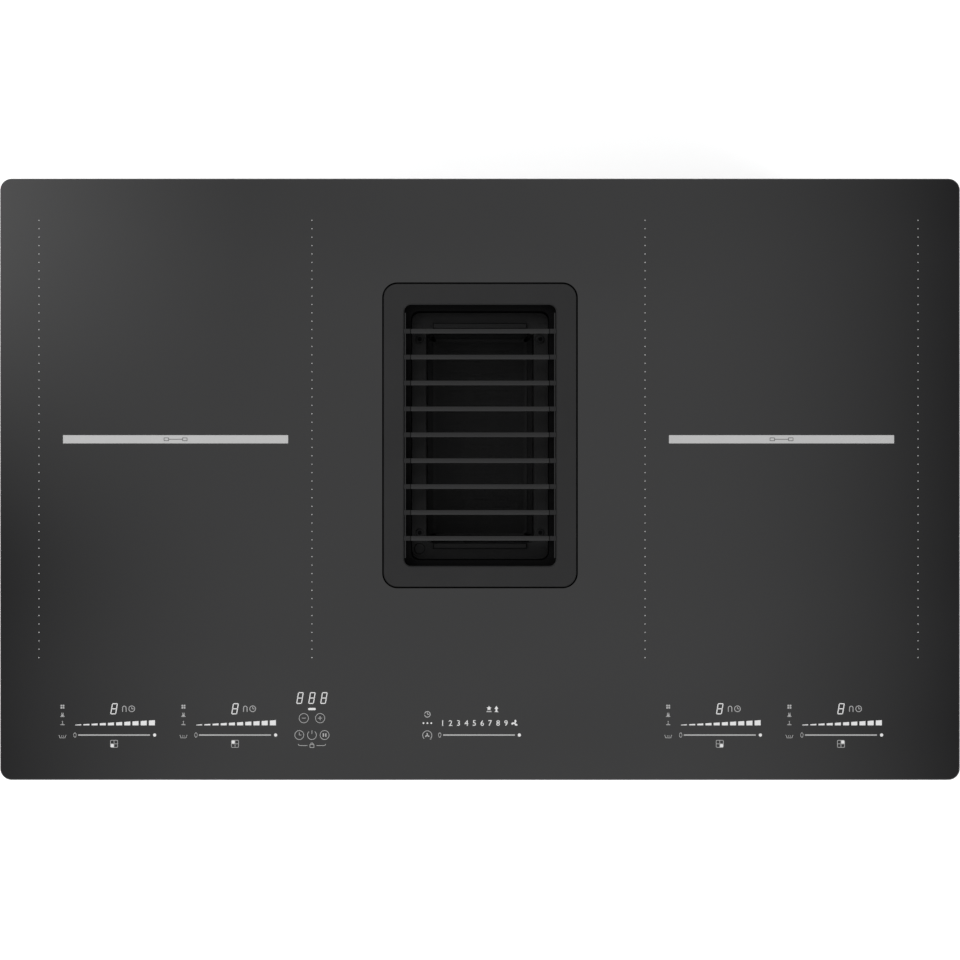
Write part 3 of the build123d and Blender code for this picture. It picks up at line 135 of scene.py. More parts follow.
def mouldGrainGroup(look):  # fine pebbled texture of a spark-eroded mould or a powder coat
    tree, vector, scale, end = newGroup("mouldGrain")
    fine = noiseNode(tree, vector, scale, *look["fine"])
    broad = noiseNode(tree, vector, scale, *look["broad"])
    cells = textureNode(tree, "Voronoi", vector, scaled(tree, scale, look["cells"]))
    cells.feature = "SMOOTH_F1"
    height = mathNode(tree, "MULTIPLY_ADD", cells.outputs["Distance"], look["cellHeight"], fine)
    pebbles = rangeNode(tree, fine, *look["contrast"])
    return endGroup(tree, end, weigh(tree, pebbles, broad, look["share"]), height)


brushed = {
    "stretch": (0.03, 1.0, 1.0), "lines": (1.0, 3.0, 0.7), "broad": (0.008, 3.0, 0.5),
    "contrast": (0.3, 0.7), "share": 0.6,
}


def brushedGroup(look):  # drawn lines of rolled or brushed metal, long along X
    tree, vector, scale, end = newGroup("brushedLines")
    stretch = tree.nodes.new("ShaderNodeMapping")
    stretch.inputs["Scale"].default_value = look["stretch"]
    join(tree, vector, stretch.inputs["Vector"])
    lines = noiseNode(tree, stretch.outputs["Vector"], scale, *look["lines"])
    broad = noiseNode(tree, vector, scale, *look["broad"])
    strokes = rangeNode(tree, lines, *look["contrast"])
    return endGroup(tree, end, weigh(tree, strokes, broad, look["share"]), lines)


spangle = {"warp": (3.0, 2.0, 0.5), "shift": 0.003, "share": 0.7}


def spangleGroup(look):  # the crystal pattern of hot-dip zinc
    tree, vector, scale, end = newGroup("zincSpangle")
    warp = noiseNode(tree, vector, scale, *look["warp"])
    shifted = tree.nodes.new("ShaderNodeVectorMath")
    shifted.operation = "ADD"
    setInputs(tree, shifted, {0: vector, 1: mathNode(tree, "MULTIPLY", warp, look["shift"])})
    cells = textureNode(tree, "Voronoi", shifted.outputs[0], scale)
    shade = redPart(tree, cells.outputs["Color"])
    return endGroup(tree, end, weigh(tree, shade, warp, look["share"]), warp)


pores = {"contrast": (0.1, 0.6), "broad": (0.03, 3.0, 0.5), "share": 0.5}


def poreGroup(look):  # open pores of foam, sintered ferrite or rubber
    tree, vector, scale, end = newGroup("openPores")
    cells = textureNode(tree, "Voronoi", vector, scale)
    holes = rangeNode(tree, cells.outputs["Distance"], *look["contrast"])
    broad = noiseNode(tree, vector, scale, *look["broad"])
    return endGroup(tree, end, weigh(tree, holes, broad, look["share"]), holes)


strands = {"distortion": 1.5, "broad": (0.1, 2.0, 0.5), "share": 0.6}


def strandGroup(look):  # twisted strands of litz wire
    tree, vector, scale, end = newGroup("twistedStrands")
    twist = textureNode(tree, "Wave", vector, scale)
    twist.bands_direction = "DIAGONAL"
    twist.inputs["Distortion"].default_value = look["distortion"]
    broad = noiseNode(tree, vector, scale, *look["broad"])
    tone = weigh(tree, twist.outputs["Fac"], broad, look["share"])
    return endGroup(tree, end, tone, twist.outputs["Fac"])


tracks = {"tones": (0.75, 0.45, 0.1), "gap": 0.06, "bias": -0.2, "squash": 0.6}


def traceGroup(look):  # tracks and pads under the lacquer of a circuit board
    tree, vector, scale, end = newGroup("boardTracks")
    bricks = textureNode(tree, "Brick", vector, scale)
    for socket, tone in zip(("Color1", "Color2", "Mortar"), look["tones"]):
        bricks.inputs[socket].default_value = (tone, tone, tone, 1)
    setInputs(tree, bricks, {"Mortar Size": look["gap"], "Bias": look["bias"]})
    bricks.squash = look["squash"]
    shade = redPart(tree, bricks.outputs["Color"])
    return endGroup(tree, end, shade, shade)


wipes = {"distortion": 7.0, "detail": 4.0, "patch": (1.5, 5.0, 0.6)}


def wipeGroup(look):  # faint arcs that a cloth leaves on polished glass
    tree, vector, scale, end = newGroup("wipeMarks")
    arcs = textureNode(tree, "Wave", vector, scale)
    arcs.wave_type = "RINGS"
    setInputs(tree, arcs, {"Distortion": look["distortion"], "Detail": look["detail"]})
    patch = noiseNode(tree, vector, scale, *look["patch"])
    return endGroup(tree, end, mathNode(tree, "MULTIPLY", arcs.outputs["Fac"], patch), patch)


patterns = {
    "grain": mouldGrainGroup(grain),
    "brushed": brushedGroup(brushed),
    "spangle": spangleGroup(spangle),
    "pores": poreGroup(pores),
    "strands": strandGroup(strands),
    "tracks": traceGroup(tracks),
    "wipes": wipeGroup(wipes),
}
print("shader groups:", len(patterns))


# Finishes: each has its own pattern, colours, roughness and relief

finishes = {
    "black_glass": {
        "pattern": "wipes", "scale": 3.0, "dark": (0.0045, 0.0045, 0.005),
        "light": (0.0065, 0.0065, 0.007), "rough": (0.035, 0.075), "bump": 0.0,
    },
    "print_white": {
        "pattern": "grain", "scale": 2500.0, "dark": (0.58, 0.58, 0.58), "light": (0.68, 0.68, 0.68),
        "rough": (0.45, 0.6), "bump": 0.05,
    },
    "print_grey": {
        "pattern": "grain", "scale": 2500.0, "dark": (0.37, 0.37, 0.37), "light": (0.44, 0.44, 0.44),
        "rough": (0.45, 0.6), "bump": 0.05,
    },
    "print_dark": {
        "pattern": "grain", "scale": 2500.0, "dark": (0.03, 0.03, 0.03), "light": (0.05, 0.05, 0.05),
        "rough": (0.45, 0.6), "bump": 0.05,
    },
    "print_soft": {
        "pattern": "grain", "scale": 2500.0, "dark": (0.3, 0.3, 0.3), "light": (0.37, 0.37, 0.37),
        "rough": (0.45, 0.6), "bump": 0.05,
    },
    "foam_tape": {
        "pattern": "pores", "scale": 1500.0, "dark": (0.015, 0.015, 0.015), "light": (0.06, 0.06, 0.06),
        "rough": (0.85, 1.0), "bump": 0.6,
    },
    "zinc_steel": {
        "pattern": "spangle", "scale": 190.0, "dark": (0.44, 0.46, 0.48), "light": (0.6, 0.62, 0.64),
        "metal": 1.0, "rough": (0.34, 0.5), "bump": 0.08,
    },
    "spring_steel": {
        "pattern": "brushed", "scale": 2600.0, "dark": (0.35, 0.35, 0.36), "light": (0.55, 0.55, 0.56),
        "metal": 1.0, "rough": (0.25, 0.42), "bump": 0.12,
    },
    "steel_screw": {
        "pattern": "brushed", "scale": 4000.0, "dark": (0.52, 0.52, 0.5), "light": (0.75, 0.75, 0.73),
        "metal": 1.0, "rough": (0.22, 0.38), "bump": 0.08,
    },
    "black_casting": {
        "pattern": "grain", "scale": 1800.0, "dark": (0.0045, 0.0045, 0.0048),
        "light": (0.0102, 0.0102, 0.0106), "rough": (0.4, 0.55), "bump": 0.14, "specular": 0.25,
    },
    "black_plastic": {
        "pattern": "grain", "scale": 1400.0, "dark": (0.018, 0.018, 0.019),
        "light": (0.035, 0.035, 0.036), "rough": (0.42, 0.62), "bump": 0.2,
    },
    "grey_plastic": {
        "pattern": "grain", "scale": 1400.0, "dark": (0.09, 0.093, 0.096), "light": (0.14, 0.144, 0.148),
        "rough": (0.45, 0.62), "bump": 0.2,
    },
    "cream_plastic": {
        "pattern": "grain", "scale": 1600.0, "dark": (0.6, 0.55, 0.45), "light": (0.74, 0.69, 0.58),
        "rough": (0.4, 0.6), "bump": 0.12,
    },
    "white_block": {
        "pattern": "grain", "scale": 1600.0, "dark": (0.72, 0.72, 0.69), "light": (0.84, 0.84, 0.82),
        "rough": (0.25, 0.4), "bump": 0.06,
    },
    "filter_steel": {
        "pattern": "brushed", "scale": 2200.0, "dark": (0.2, 0.2, 0.205), "light": (0.36, 0.36, 0.365),
        "metal": 1.0, "rough": (0.3, 0.48), "bump": 0.12,
    },
    "dark_steel": {
        "pattern": "brushed", "scale": 2400.0, "dark": (0.07, 0.07, 0.072), "light": (0.13, 0.13, 0.135),
        "metal": 1.0, "rough": (0.38, 0.55), "bump": 0.12,
    },
    "rubber": {
        "pattern": "pores", "scale": 3000.0, "dark": (0.014, 0.014, 0.014),
        "light": (0.032, 0.032, 0.032), "rough": (0.7, 0.9), "bump": 0.2,
    },
    "copper": {
        "pattern": "strands", "scale": 420.0, "dark": (0.42, 0.15, 0.06), "light": (0.8, 0.38, 0.2),
        "metal": 1.0, "rough": (0.25, 0.45), "bump": 0.6,
    },
    "ferrite": {
        "pattern": "pores", "scale": 2600.0, "dark": (0.035, 0.035, 0.038), "light": (0.1, 0.1, 0.105),
        "rough": (0.45, 0.7), "bump": 0.25,
    },
    "mica": {
        "pattern": "pores", "scale": 500.0, "dark": (0.5, 0.44, 0.34), "light": (0.74, 0.68, 0.56),
        "rough": (0.3, 0.6), "bump": 0.12,
    },
    "sensor_white": {
        "pattern": "grain", "scale": 1800.0, "dark": (0.7, 0.69, 0.65), "light": (0.82, 0.81, 0.77),
        "rough": (0.45, 0.6), "bump": 0.1,
    },
    "aluminium": {
        "pattern": "brushed", "scale": 2400.0, "dark": (0.6, 0.61, 0.62), "light": (0.8, 0.81, 0.82),
        "metal": 1.0, "rough": (0.25, 0.42), "bump": 0.1,
    },
    "board_green": {
        "pattern": "tracks", "scale": 60.0, "dark": (0.008, 0.06, 0.028), "light": (0.02, 0.16, 0.07),
        "rough": (0.25, 0.4), "bump": 0.15,
    },
    "board_parts": {
        "pattern": "grain", "scale": 1500.0, "dark": (0.02, 0.02, 0.022), "light": (0.07, 0.07, 0.075),
        "rough": (0.25, 0.45), "bump": 0.12,
    },
    "display": {
        "pattern": "grain", "scale": 1500.0, "dark": (0.03, 0.004, 0.004), "light": (0.07, 0.012, 0.01),
        "rough": (0.15, 0.25), "bump": 0.04,
    },
    "brass": {
        "pattern": "brushed", "scale": 3000.0, "dark": (0.55, 0.4, 0.16), "light": (0.8, 0.62, 0.3),
        "metal": 1.0, "rough": (0.22, 0.4), "bump": 0.1,
    },
    # painted shade: this black is darkened far below black plastic to stand for the shadow down in the intake
    # well; the slat end strips and screw socket discs below use it too
    "black_with_painted_shade": {
        "pattern": "grain", "scale": 1400.0, "dark": (0.001, 0.001, 0.0011),
        "light": (0.0026, 0.0026, 0.0028), "rough": (0.55, 0.75), "bump": 0.2, "specular": 0.04,
    },
    "cassette_black": {
        "pattern": "grain", "scale": 1600.0, "dark": (0.0075, 0.0075, 0.0078),
        "light": (0.0145, 0.0145, 0.0149), "rough": (0.5, 0.66), "bump": 0.18, "specular": 0.14,
    },
    "filter_black": {
        "pattern": "brushed", "scale": 2200.0, "dark": (0.007, 0.007, 0.0073),
        "light": (0.014, 0.014, 0.0144), "rough": (0.5, 0.7), "bump": 0.15, "specular": 0.12,
    },
    "mesh_black": {
        "pattern": "brushed", "scale": 3200.0, "dark": (0.0098, 0.0098, 0.0101),
        "light": (0.019, 0.019, 0.0194), "rough": (0.5, 0.7), "bump": 0.1, "specular": 0.17,
    },
    "grip_black": {
        "pattern": "brushed", "scale": 2200.0, "dark": (0.006, 0.006, 0.0062),
        "light": (0.0105, 0.0105, 0.0108), "rough": (0.42, 0.56), "bump": 0.1, "specular": 0.12,
    },
    "tray_black": {
        "pattern": "grain", "scale": 1400.0, "dark": (0.008, 0.008, 0.0084),
        "light": (0.016, 0.016, 0.0165), "rough": (0.45, 0.62), "bump": 0.2, "specular": 0.3,
    },
    "black_can": {
        "pattern": "grain", "scale": 2200.0, "dark": (0.02, 0.02, 0.023), "light": (0.05, 0.05, 0.055),
        "metal": 0.6, "rough": (0.3, 0.45), "bump": 0.1,
    },
}


reliefDepth = 0.2 * mm


def makeFinish(name, look):
    material = bpy.data.materials.new(name)
    material.use_nodes = True
    tree = material.node_tree
    shader = tree.nodes["Principled BSDF"]
    place = tree.nodes.new("ShaderNodeTexCoord")
    pattern = tree.nodes.new("ShaderNodeGroup")
    pattern.node_tree = patterns[look["pattern"]]
    pattern.inputs["Scale"].default_value = look["scale"]
    join(tree, place.outputs["Object"], pattern.inputs["Vector"])
    colour = tree.nodes.new("ShaderNodeMix")
    colour.data_type = "RGBA"
    colour.inputs["A"].default_value = (*look["dark"], 1)
    colour.inputs["B"].default_value = (*look["light"], 1)
    join(tree, pattern.outputs["Tone"], colour.inputs["Factor"])
    join(tree, colour.outputs["Result"], shader.inputs["Base Color"])
    join(tree, rangeNode(tree, pattern.outputs["Tone"], 0.0, 1.0, *look["rough"]), shader.inputs["Roughness"])
    shader.inputs["Metallic"].default_value = look.get("metal", 0.0)
    shader.inputs["Specular IOR Level"].default_value = look.get("specular", 0.5)
    if look["bump"] > 0:
        relief = tree.nodes.new("ShaderNodeBump")
        relief.inputs["Strength"].default_value = look["bump"]
        relief.inputs["Distance"].default_value = reliefDepth
        join(tree, pattern.outputs["Height"], relief.inputs["Height"])
        join(tree, relief.outputs["Normal"], shader.inputs["Normal"])
    return material


materials = {name: makeFinish(name, look) for name, look in finishes.items()}

glassEdge = {"below": glassHigh.z - 0.04 * mm, "rough": 0.3}


def dressGlass(edge):  # the ground edge and bevel are duller than the polished face
    tree = materials["black_glass"].node_tree
    shader = tree.nodes["Principled BSDF"]
    place = tree.nodes.new("ShaderNodeTexCoord")
    parts = tree.nodes.new("ShaderNodeSeparateXYZ")
    join(tree, place.outputs["Object"], parts.inputs[0])
    mask = mathNode(tree, "LESS_THAN", parts.outputs["Z"], edge["below"])
    polished = shader.inputs["Roughness"].links[0].from_socket
    blend = tree.nodes.new("ShaderNodeMix")
    join(tree, mask, blend.inputs["Factor"])
    join(tree, polished, blend.inputs["A"])
    blend.inputs["B"].default_value = edge["rough"]
    join(tree, blend.outputs["Result"], shader.inputs["Roughness"])


dressGlass(glassEdge)

# Inside the intake the parts get near-black finishes of their own in place of their slots'; the throat's
# black is darker still and paints the shade of the well onto it
ownFinish = {
    "intake_throat": "black_with_painted_shade", "cassette_frame": "cassette_black", "cassette_panels": "filter_black",
    "cassette_screws": "filter_black", "cassette_grips": "grip_black", "filter_magnet": "cassette_black",
    "drip_tray": "tray_black",
}
smoothing = {"angle": 32.0, "weld": 1e-6}
for part in frame["record"]["subparts"]:
    node = nodes[part["node"]]
    node.data.materials.clear()
    node.data.materials.append(materials[ownFinish.get(part["node"], part["material_slot"])])
    node.data.polygons.foreach_set("use_smooth", [True] * len(node.data.polygons))
    weld = node.modifiers.new("weld", "WELD")
    weld.merge_threshold = smoothing["weld"]
    split = node.modifiers.new("sharpEdges", "EDGE_SPLIT")
    split.split_angle = math.radians(smoothing["angle"])
    split.use_edge_sharp = False
print("finishes:", len(materials))


# Flat marks, made as faces and thickened at the end

def at(x, y, width=1.0, height=1.0, turn=0.0):
    place = Matrix.Translation((x * mm, y * mm, 0)) @ Matrix.Rotation(math.radians(turn), 4, "Z")
    return place @ Matrix.Diagonal((width * mm, height * mm, 1, 1))


def addBar(bm, x, y, width, height, turn=0.0):
    shape = at(x, y, width, height, turn)
    return bmesh.ops.create_grid(bm, x_segments=1, y_segments=1, size=0.5, matrix=shape)["verts"]


def addDisc(bm, x, y, width, height=None, segments=24, turn=0.0):  # three segments: a triangle pointing up
    shape = at(x, y, width, height or width, turn)
    return bmesh.ops.create_circle(bm, cap_ends=True, radius=0.5, segments=segments, matrix=shape)["verts"]


ringSteps = {"full": 32, "least": 6}


def addRing(bm, x, y, diameter, line, start=0.0, sweep=360.0, flatten=1.0):
    segments = max(ringSteps["least"], round(ringSteps["full"] * sweep / 360))
    angle = math.radians(start)
    heading = Vector((math.cos(angle), math.sin(angle), 0))
    ends = [bm.verts.new(heading * radius * mm) for radius in (diameter / 2 - line, diameter / 2)]
    edge = bm.edges.new(ends)
    before = set(bm.verts) - set(ends)
    bmesh.ops.spin(
        bm, geom=[*ends, edge], cent=(0, 0, 0), axis=(0, 0, 1), angle=math.radians(sweep),
        steps=segments, use_merge=sweep >= 360,
    )
    made = [v for v in bm.verts if v not in before]
    bmesh.ops.scale(bm, vec=(flatten, 1, 1), verts=made)
    bmesh.ops.translate(bm, vec=(x * mm, y * mm, 0), verts=made)


def addRounded(bm, x, y, width, height, radius, line=0.0):  # filled, or an outline where a line is given
    segments = 16
    turned = Matrix.Rotation(math.pi / segments, 4, "Z")
    made = bmesh.ops.create_circle(
        bm, cap_ends=True, radius=radius * mm, segments=segments, matrix=turned,
    )["verts"]
    for vert in made:
        vert.co.x += math.copysign(width / 2 - radius, vert.co.x) * mm
        vert.co.y += math.copysign(height / 2 - radius, vert.co.y) * mm
    bmesh.ops.translate(bm, vec=(x * mm, y * mm, 0), verts=made)
    if line:
        face = list(made[0].link_faces)
        bmesh.ops.inset_region(bm, faces=face, thickness=line * mm, use_boundary=True, use_even_offset=True)
        bmesh.ops.delete(bm, geom=face, context="FACES_ONLY")


tipShare = 0.57


def addSegment(bm, x, y, length, line, turn):  # one bar of a digit, pointed at both ends
    flatSides = Matrix.Rotation(math.radians(30), 4, "Z")
    tip = line * tipShare
    made = bmesh.ops.create_circle(bm, cap_ends=True, radius=tip * mm, segments=6, matrix=flatSides)["verts"]
    reach = length / 2 - tip
    for vert in made:
        vert.co.x += math.copysign(reach, vert.co.x) * mm
    bmesh.ops.rotate(bm, cent=(0, 0, 0), matrix=Matrix.Rotation(math.radians(turn), 3, "Z"), verts=made)
    bmesh.ops.translate(bm, vec=(x * mm, y * mm, 0), verts=made)
    return made


def addEight(bm, x, y, width, height, line, lean):  # all seven bars of a digit
    w, h = width - line, (height - line) / 2
    bars = [(0, h, w, 0), (0, 0, w, 0), (0, -h, w, 0)]
    bars += [(side * w / 2, up * h / 2, h, 90) for side in (-1, 1) for up in (-1, 1)]
    for dx, dy, length, turn in bars:
        made = addSegment(bm, dx, dy, length, line, turn)
        for vert in made:
            vert.co.x += lean * vert.co.y
        bmesh.ops.translate(bm, vec=(x * mm, y * mm, 0), verts=made)


numberLook = {"bold": 0.01, "resolution": 3, "weld": 1e-5}


def addNumber(bm, text, x, y, height, look):
    curve = bpy.data.curves.new("number", "FONT")
    curve.body = text
    curve.offset = look["bold"]
    curve.resolution_u = look["resolution"]
    holder = bpy.data.objects.new("number", curve)
    bpy.context.scene.collection.objects.link(holder)
    bpy.context.view_layer.update()
    mesh = bpy.data.meshes.new_from_object(holder.evaluated_get(bpy.context.evaluated_depsgraph_get()))
    before = set(bm.verts)
    bm.from_mesh(mesh)
    made = [v for v in bm.verts if v not in before]
    bmesh.ops.remove_doubles(bm, verts=made, dist=look["weld"])
    made = [v for v in bm.verts if v not in before]
    lowX, highX = min(v.co.x for v in made), max(v.co.x for v in made)
    lowY, highY = min(v.co.y for v in made), max(v.co.y for v in made)
    size = height * mm / (highY - lowY)
    bmesh.ops.translate(bm, vec=(-(lowX + highX) / 2, -(lowY + highY) / 2, 0), verts=made)
    bmesh.ops.scale(bm, vec=(size, size, size), verts=made)
    bmesh.ops.translate(bm, vec=(x * mm, y * mm, 0), verts=made)
    bpy.data.objects.remove(holder)
    bpy.data.curves.remove(curve)
    bpy.data.meshes.remove(mesh)


def addStar(bm, x, y, size, points, waist):
    centre = Vector((x * mm, y * mm, 0))
    for vert in addDisc(bm, x, y, size, segments=2 * points)[1::2]:
        vert.co = centre + (vert.co - centre) * waist


pieceWeld = 1e-7


def finishPiece(bm, name, finish, body):
    bmesh.ops.remove_doubles(bm, verts=bm.verts, dist=pieceWeld)
    bmesh.ops.recalc_face_normals(bm, faces=bm.faces)
    mesh = bpy.data.meshes.new(name)
    bm.to_mesh(mesh)
    bm.free()
    piece = bpy.data.objects.new(name, mesh)
    bpy.context.scene.collection.objects.link(piece)
    mesh.materials.append(materials[finish])
    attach(piece, body)


# Welded wire mesh on the floor of the filter cassette

greaseMesh = {"wire": 0.6, "bite": 0.1, "pitch": 1.25, "border": 2.4, "inset": 6.3, "panelSheet": 1.6}


def addRod(bm, low, high):
    middle, size = (low + high) / 2, high - low
    bmesh.ops.create_cube(bm, size=1.0, matrix=Matrix.Translation(middle) @ Matrix.Diagonal((*size, 1)))


def wireMesh(look, low, high):
    bm = bmesh.new()
    wire, pitch, border = look["wire"] * mm, look["pitch"] * mm, look["border"] * mm
    bite = wire * look["bite"]
    for axis in (0, 1):
        across = 1 - axis
        count = math.floor((high[across] - low[across] - 2 * border) / pitch)
        first = (high[across] + low[across] - (count - 1) * pitch) / 2
        level = low.z + axis * (wire - bite)
        for k in range(count):
            start, end = low.copy(), high.copy()
            start[across] = first + k * pitch - wire / 2
            end[across] = start[across] + wire
            start.z, end.z = level, level + wire
            addRod(bm, start, end)
        for edge in (low[across], high[across] - border):
            start, end = low.copy(), high.copy()
            start[across], end[across] = edge, edge + border
            start.z, end.z = low.z - bite, low.z + 2 * wire + bite
            addRod(bm, start, end)
    finishPiece(bm, "greaseMesh", "mesh_black", "filter_cassette")


low, high = (Vector(corner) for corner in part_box("cassette_panels"))
edge = greaseMesh["inset"] * mm
floorTop = greaseMesh["panelSheet"] * mm
wireMesh(greaseMesh, low + Vector((edge, edge, floorTop)), high - Vector((edge, edge, 0)))
print("mesh laid")


# Shoes on the slat ends, a near-black strip between shoe and slat that paints the shade at the slat end, and
# thin lips between them beside the opening.
# Each part gives its near and far side from the middle, then the depths of its top and foot.

trim = {
    "slats": 9, "pitch": 22.4, "front": -1.5, "back": 2.5, "lipReach": 106.0,
    "shoe": (60.4, 65.9, 0.45, 0.7), "endShade": (59.9, 60.4, 0.5, 0.7), "lip": (64.2, 65.1, 0.7, 3.0),
}


def addSides(bm, part, front, back):
    near, far, top, foot = part
    for inner, outer in ((-far, -near), (near, far)):
        low = Vector((inner * mm, front * mm, grilleHigh.z - foot * mm))
        addRod(bm, low, Vector((outer * mm, back * mm, grilleHigh.z - top * mm)))


def grilleTrim(look):
    middle = (grilleLow.y + grilleHigh.y) / 2 / mm
    first = middle - (look["slats"] - 1) / 2 * look["pitch"]
    shoes, endShades, lips = (bmesh.new() for _ in range(3))
    last = middle - look["lipReach"]
    for k in range(look["slats"]):
        y = first + k * look["pitch"]
        front, back = y + look["front"], y + look["back"]
        addSides(shoes, look["shoe"], front, back)
        addSides(endShades, look["endShade"], front, back)
        addSides(lips, look["lip"], last, front)
        last = back
    addSides(lips, look["lip"], last, middle + look["lipReach"])
    finishPiece(shoes, "slatShoes", "cassette_black", "grille")
    # painted shade: the near-black strip at each slat end stands for the shadow where the slat meets its shoe
    finishPiece(endShades, "slatEndShade", "black_with_painted_shade", "grille")
    finishPiece(lips, "openingLips", "black_casting", "grille")


grilleTrim(trim)


# Painted shade: flat near-black hexagons on the heads of the cassette's screws stand for the shade inside
# their sockets

socketShade = {"headRadius": 3.4, "radius": 2.1, "height": 0.12}


def screwSocketShade(look, low, high):
    bm = bmesh.new()
    inset, radius = look["headRadius"] * mm, look["radius"] * mm
    for x in (low.x + inset, high.x - inset):
        for y in (low.y + inset, high.y - inset):
            bmesh.ops.create_cone(
                bm, cap_ends=True, segments=6, radius1=radius, radius2=radius, depth=look["height"] * mm,
                matrix=Matrix.Translation((x, y, high.z)),
            )
    # the near-black discs paint the shade of the socket hollows
    finishPiece(bm, "screwSocketShade", "black_with_painted_shade", "filter_cassette")


screwSocketShade(socketShade, *(Vector(corner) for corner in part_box("cassette_screws")))
print("trim added")


# Printing on the glass

printing = {"thickness": 0.04, "sunk": 0.01, "overprint": 0.03}


def finishPrint(bm, name, finish, lift=0.0):  # thickens the flat faces and lays them on the glass
    bmesh.ops.triangulate(bm, faces=[f for f in bm.faces if len(f.verts) > 4])
    bmesh.ops.recalc_face_normals(bm, faces=bm.faces)
    bmesh.ops.solidify(bm, geom=bm.faces[:], thickness=printing["thickness"] * mm)
    low = min(v.co.z for v in bm.verts)
    rise = glassHigh.z - low + (lift - printing["sunk"]) * mm
    bmesh.ops.translate(bm, vec=(0, 0, rise), verts=bm.verts)
    finishPiece(bm, name, finish, "hob")


# Cooking zones

zones = {
    "columns": (-381.3, -145.3, 142.7, 378.7), "rear": 223.9, "pitch": 7.27, "dots": 53,
    "dotSize": 0.96, "dotSides": 10,
}
bm = bmesh.new()
for x in zones["columns"]:
    for k in range(zones["dots"]):
        addDisc(bm, x, zones["rear"] - k * zones["pitch"], zones["dotSize"], segments=zones["dotSides"])
finishPrint(bm, "zoneDots", "print_grey")

bars = {
    "middles": (-263.2, 260.7), "y": 34.6, "width": 194.6, "height": 7.1, "sign": (8.0, 4.4, 3.0, 0.5, 0.5),
}
bm = bmesh.new()
for x in bars["middles"]:
    addBar(bm, x, bars["y"], bars["width"], bars["height"])
finishPrint(bm, "zoneBars", "print_grey")

bm = bmesh.new()
reach, width, height, corner, line = bars["sign"]
for x in bars["middles"]:  # two joined areas, the sign of a bridged zone
    for side in (-1, 1):
        addRounded(bm, x + side * reach, bars["y"], width, height, corner, line)
    addBar(bm, x, bars["y"], 2 * reach - width, line)
finishPrint(bm, "zoneSigns", "print_dark", printing["overprint"])
print("zones printed")


# Power controls of the four zones: X is measured from the middle of a control, and Y on the glass

def moved(x, values):  # the first value is the place along X
    return (x + values[0], *values[1:])


def addHands(bm, x, y, line, across, drop, up, length):  # of a clock
    addBar(bm, x + across, y - drop, length, line)
    addBar(bm, x, y + up, line, length)


def addArch(bm, x, y, width, height, line):
    addRing(bm, x, y + (height - width) / 2, width, line, 0, 180)
    for side in (-1, 1):
        addBar(bm, x + side * (width - line) / 2, y - width / 4, line, height - width / 2)


bowl = {
    "line": 0.42, "foot": 2.244, "lip": 2.772, "height": 2.244, "wall": 2.4235,
    "handle": (2.97, 0.924), "steam": (0.726, 0.4488, 1.0322), "steamTurn": 14,
}


def addBowl(bm, x, y, look):  # a wide bowl with two handles and two curls of steam
    line, foot, lip, height = (look[key] for key in ("line", "foot", "lip", "height"))
    handleX, handleLength = look["handle"]
    steamX, steamY, steamLength = look["steam"]
    lean = math.degrees(math.atan2(lip - foot, height))
    addBar(bm, x, y - height / 2, 2 * foot, line)
    for side in (-1, 1):
        addBar(bm, x + side * (foot + lip) / 2, y, line, look["wall"], -side * lean)
        addBar(bm, x + side * handleX, y + height / 2, handleLength, line)
        addBar(bm, x + side * steamX, y + steamY, line, steamLength, side * look["steamTurn"])


def addQuadrants(soft, bright, x, y, size, corner, line, filled):
    addRounded(soft, x, y, size, size, corner, line)
    addBar(soft, x, y, line, size - 2 * line)
    addBar(soft, x, y, size - 2 * line, line)
    fx, fy = filled
    addBar(bright, x + fx * size / 4, y + fy * size / 4, size / 2 - 1.5 * line, size / 2 - 1.5 * line)


heat = {
    "square": (0.936, 1.512, 1.512, 0.432), "steam": (0.612, 1.152, 0.54, 1.224, 12),
    "pot": (-0.36, 2.52, 1.512), "bead": (1.296, 0.936), "drip": (0.288, 0.468, 1.8),
    "pool": (-0.72, 2.232, 1.08), "plate": (-1.512, 3.6, 0.54),
}


def addHeatMarks(bm, x, levels, look):  # small signs for melting, keeping warm and simmering
    melting, warming, simmering = levels
    step, *square = look["square"]
    for dx in (-step, step):
        for dy in (-step, step):
            addRounded(bm, x + dx, melting + dy, *square)
    across, rise, *curl = look["steam"]
    for dx in (-across, across):
        addBar(bm, x + dx, warming + rise, *curl)
    rise, *pot = look["pot"]
    addDisc(bm, x, warming + rise, *pot)
    rise, bead = look["bead"]
    addDisc(bm, x, simmering + rise, bead)
    rise, *drip = look["drip"]
    addBar(bm, x, simmering + rise, *drip)
    rise, *pool = look["pool"]
    addDisc(bm, x, simmering + rise, *pool, segments=3)
    rise, *plate = look["plate"]
    for level in (warming, simmering):
        addBar(bm, x, level + rise, *plate)


levelBars = {
    "first": -31.0, "pitch": 7.08, "count": 10,
    "y": -212.7, "width": 5.2, "heights": (0.5, 4.1), "slant": 0.4,
}


def addLevelBars(bm, x, look):  # bars that grow to the right, with slanting tops
    low, high = look["heights"]
    for k in range(look["count"]):
        height = low + (high - low) * k / (look["count"] - 1)
        middleX = x + look["first"] + k * look["pitch"]
        middleY = look["y"] + height / 2
        for vert in addBar(bm, middleX, middleY, look["width"], height):
            if vert.co.y > middleY * mm and vert.co.x > middleX * mm:
                vert.co.y += look["slant"] * mm


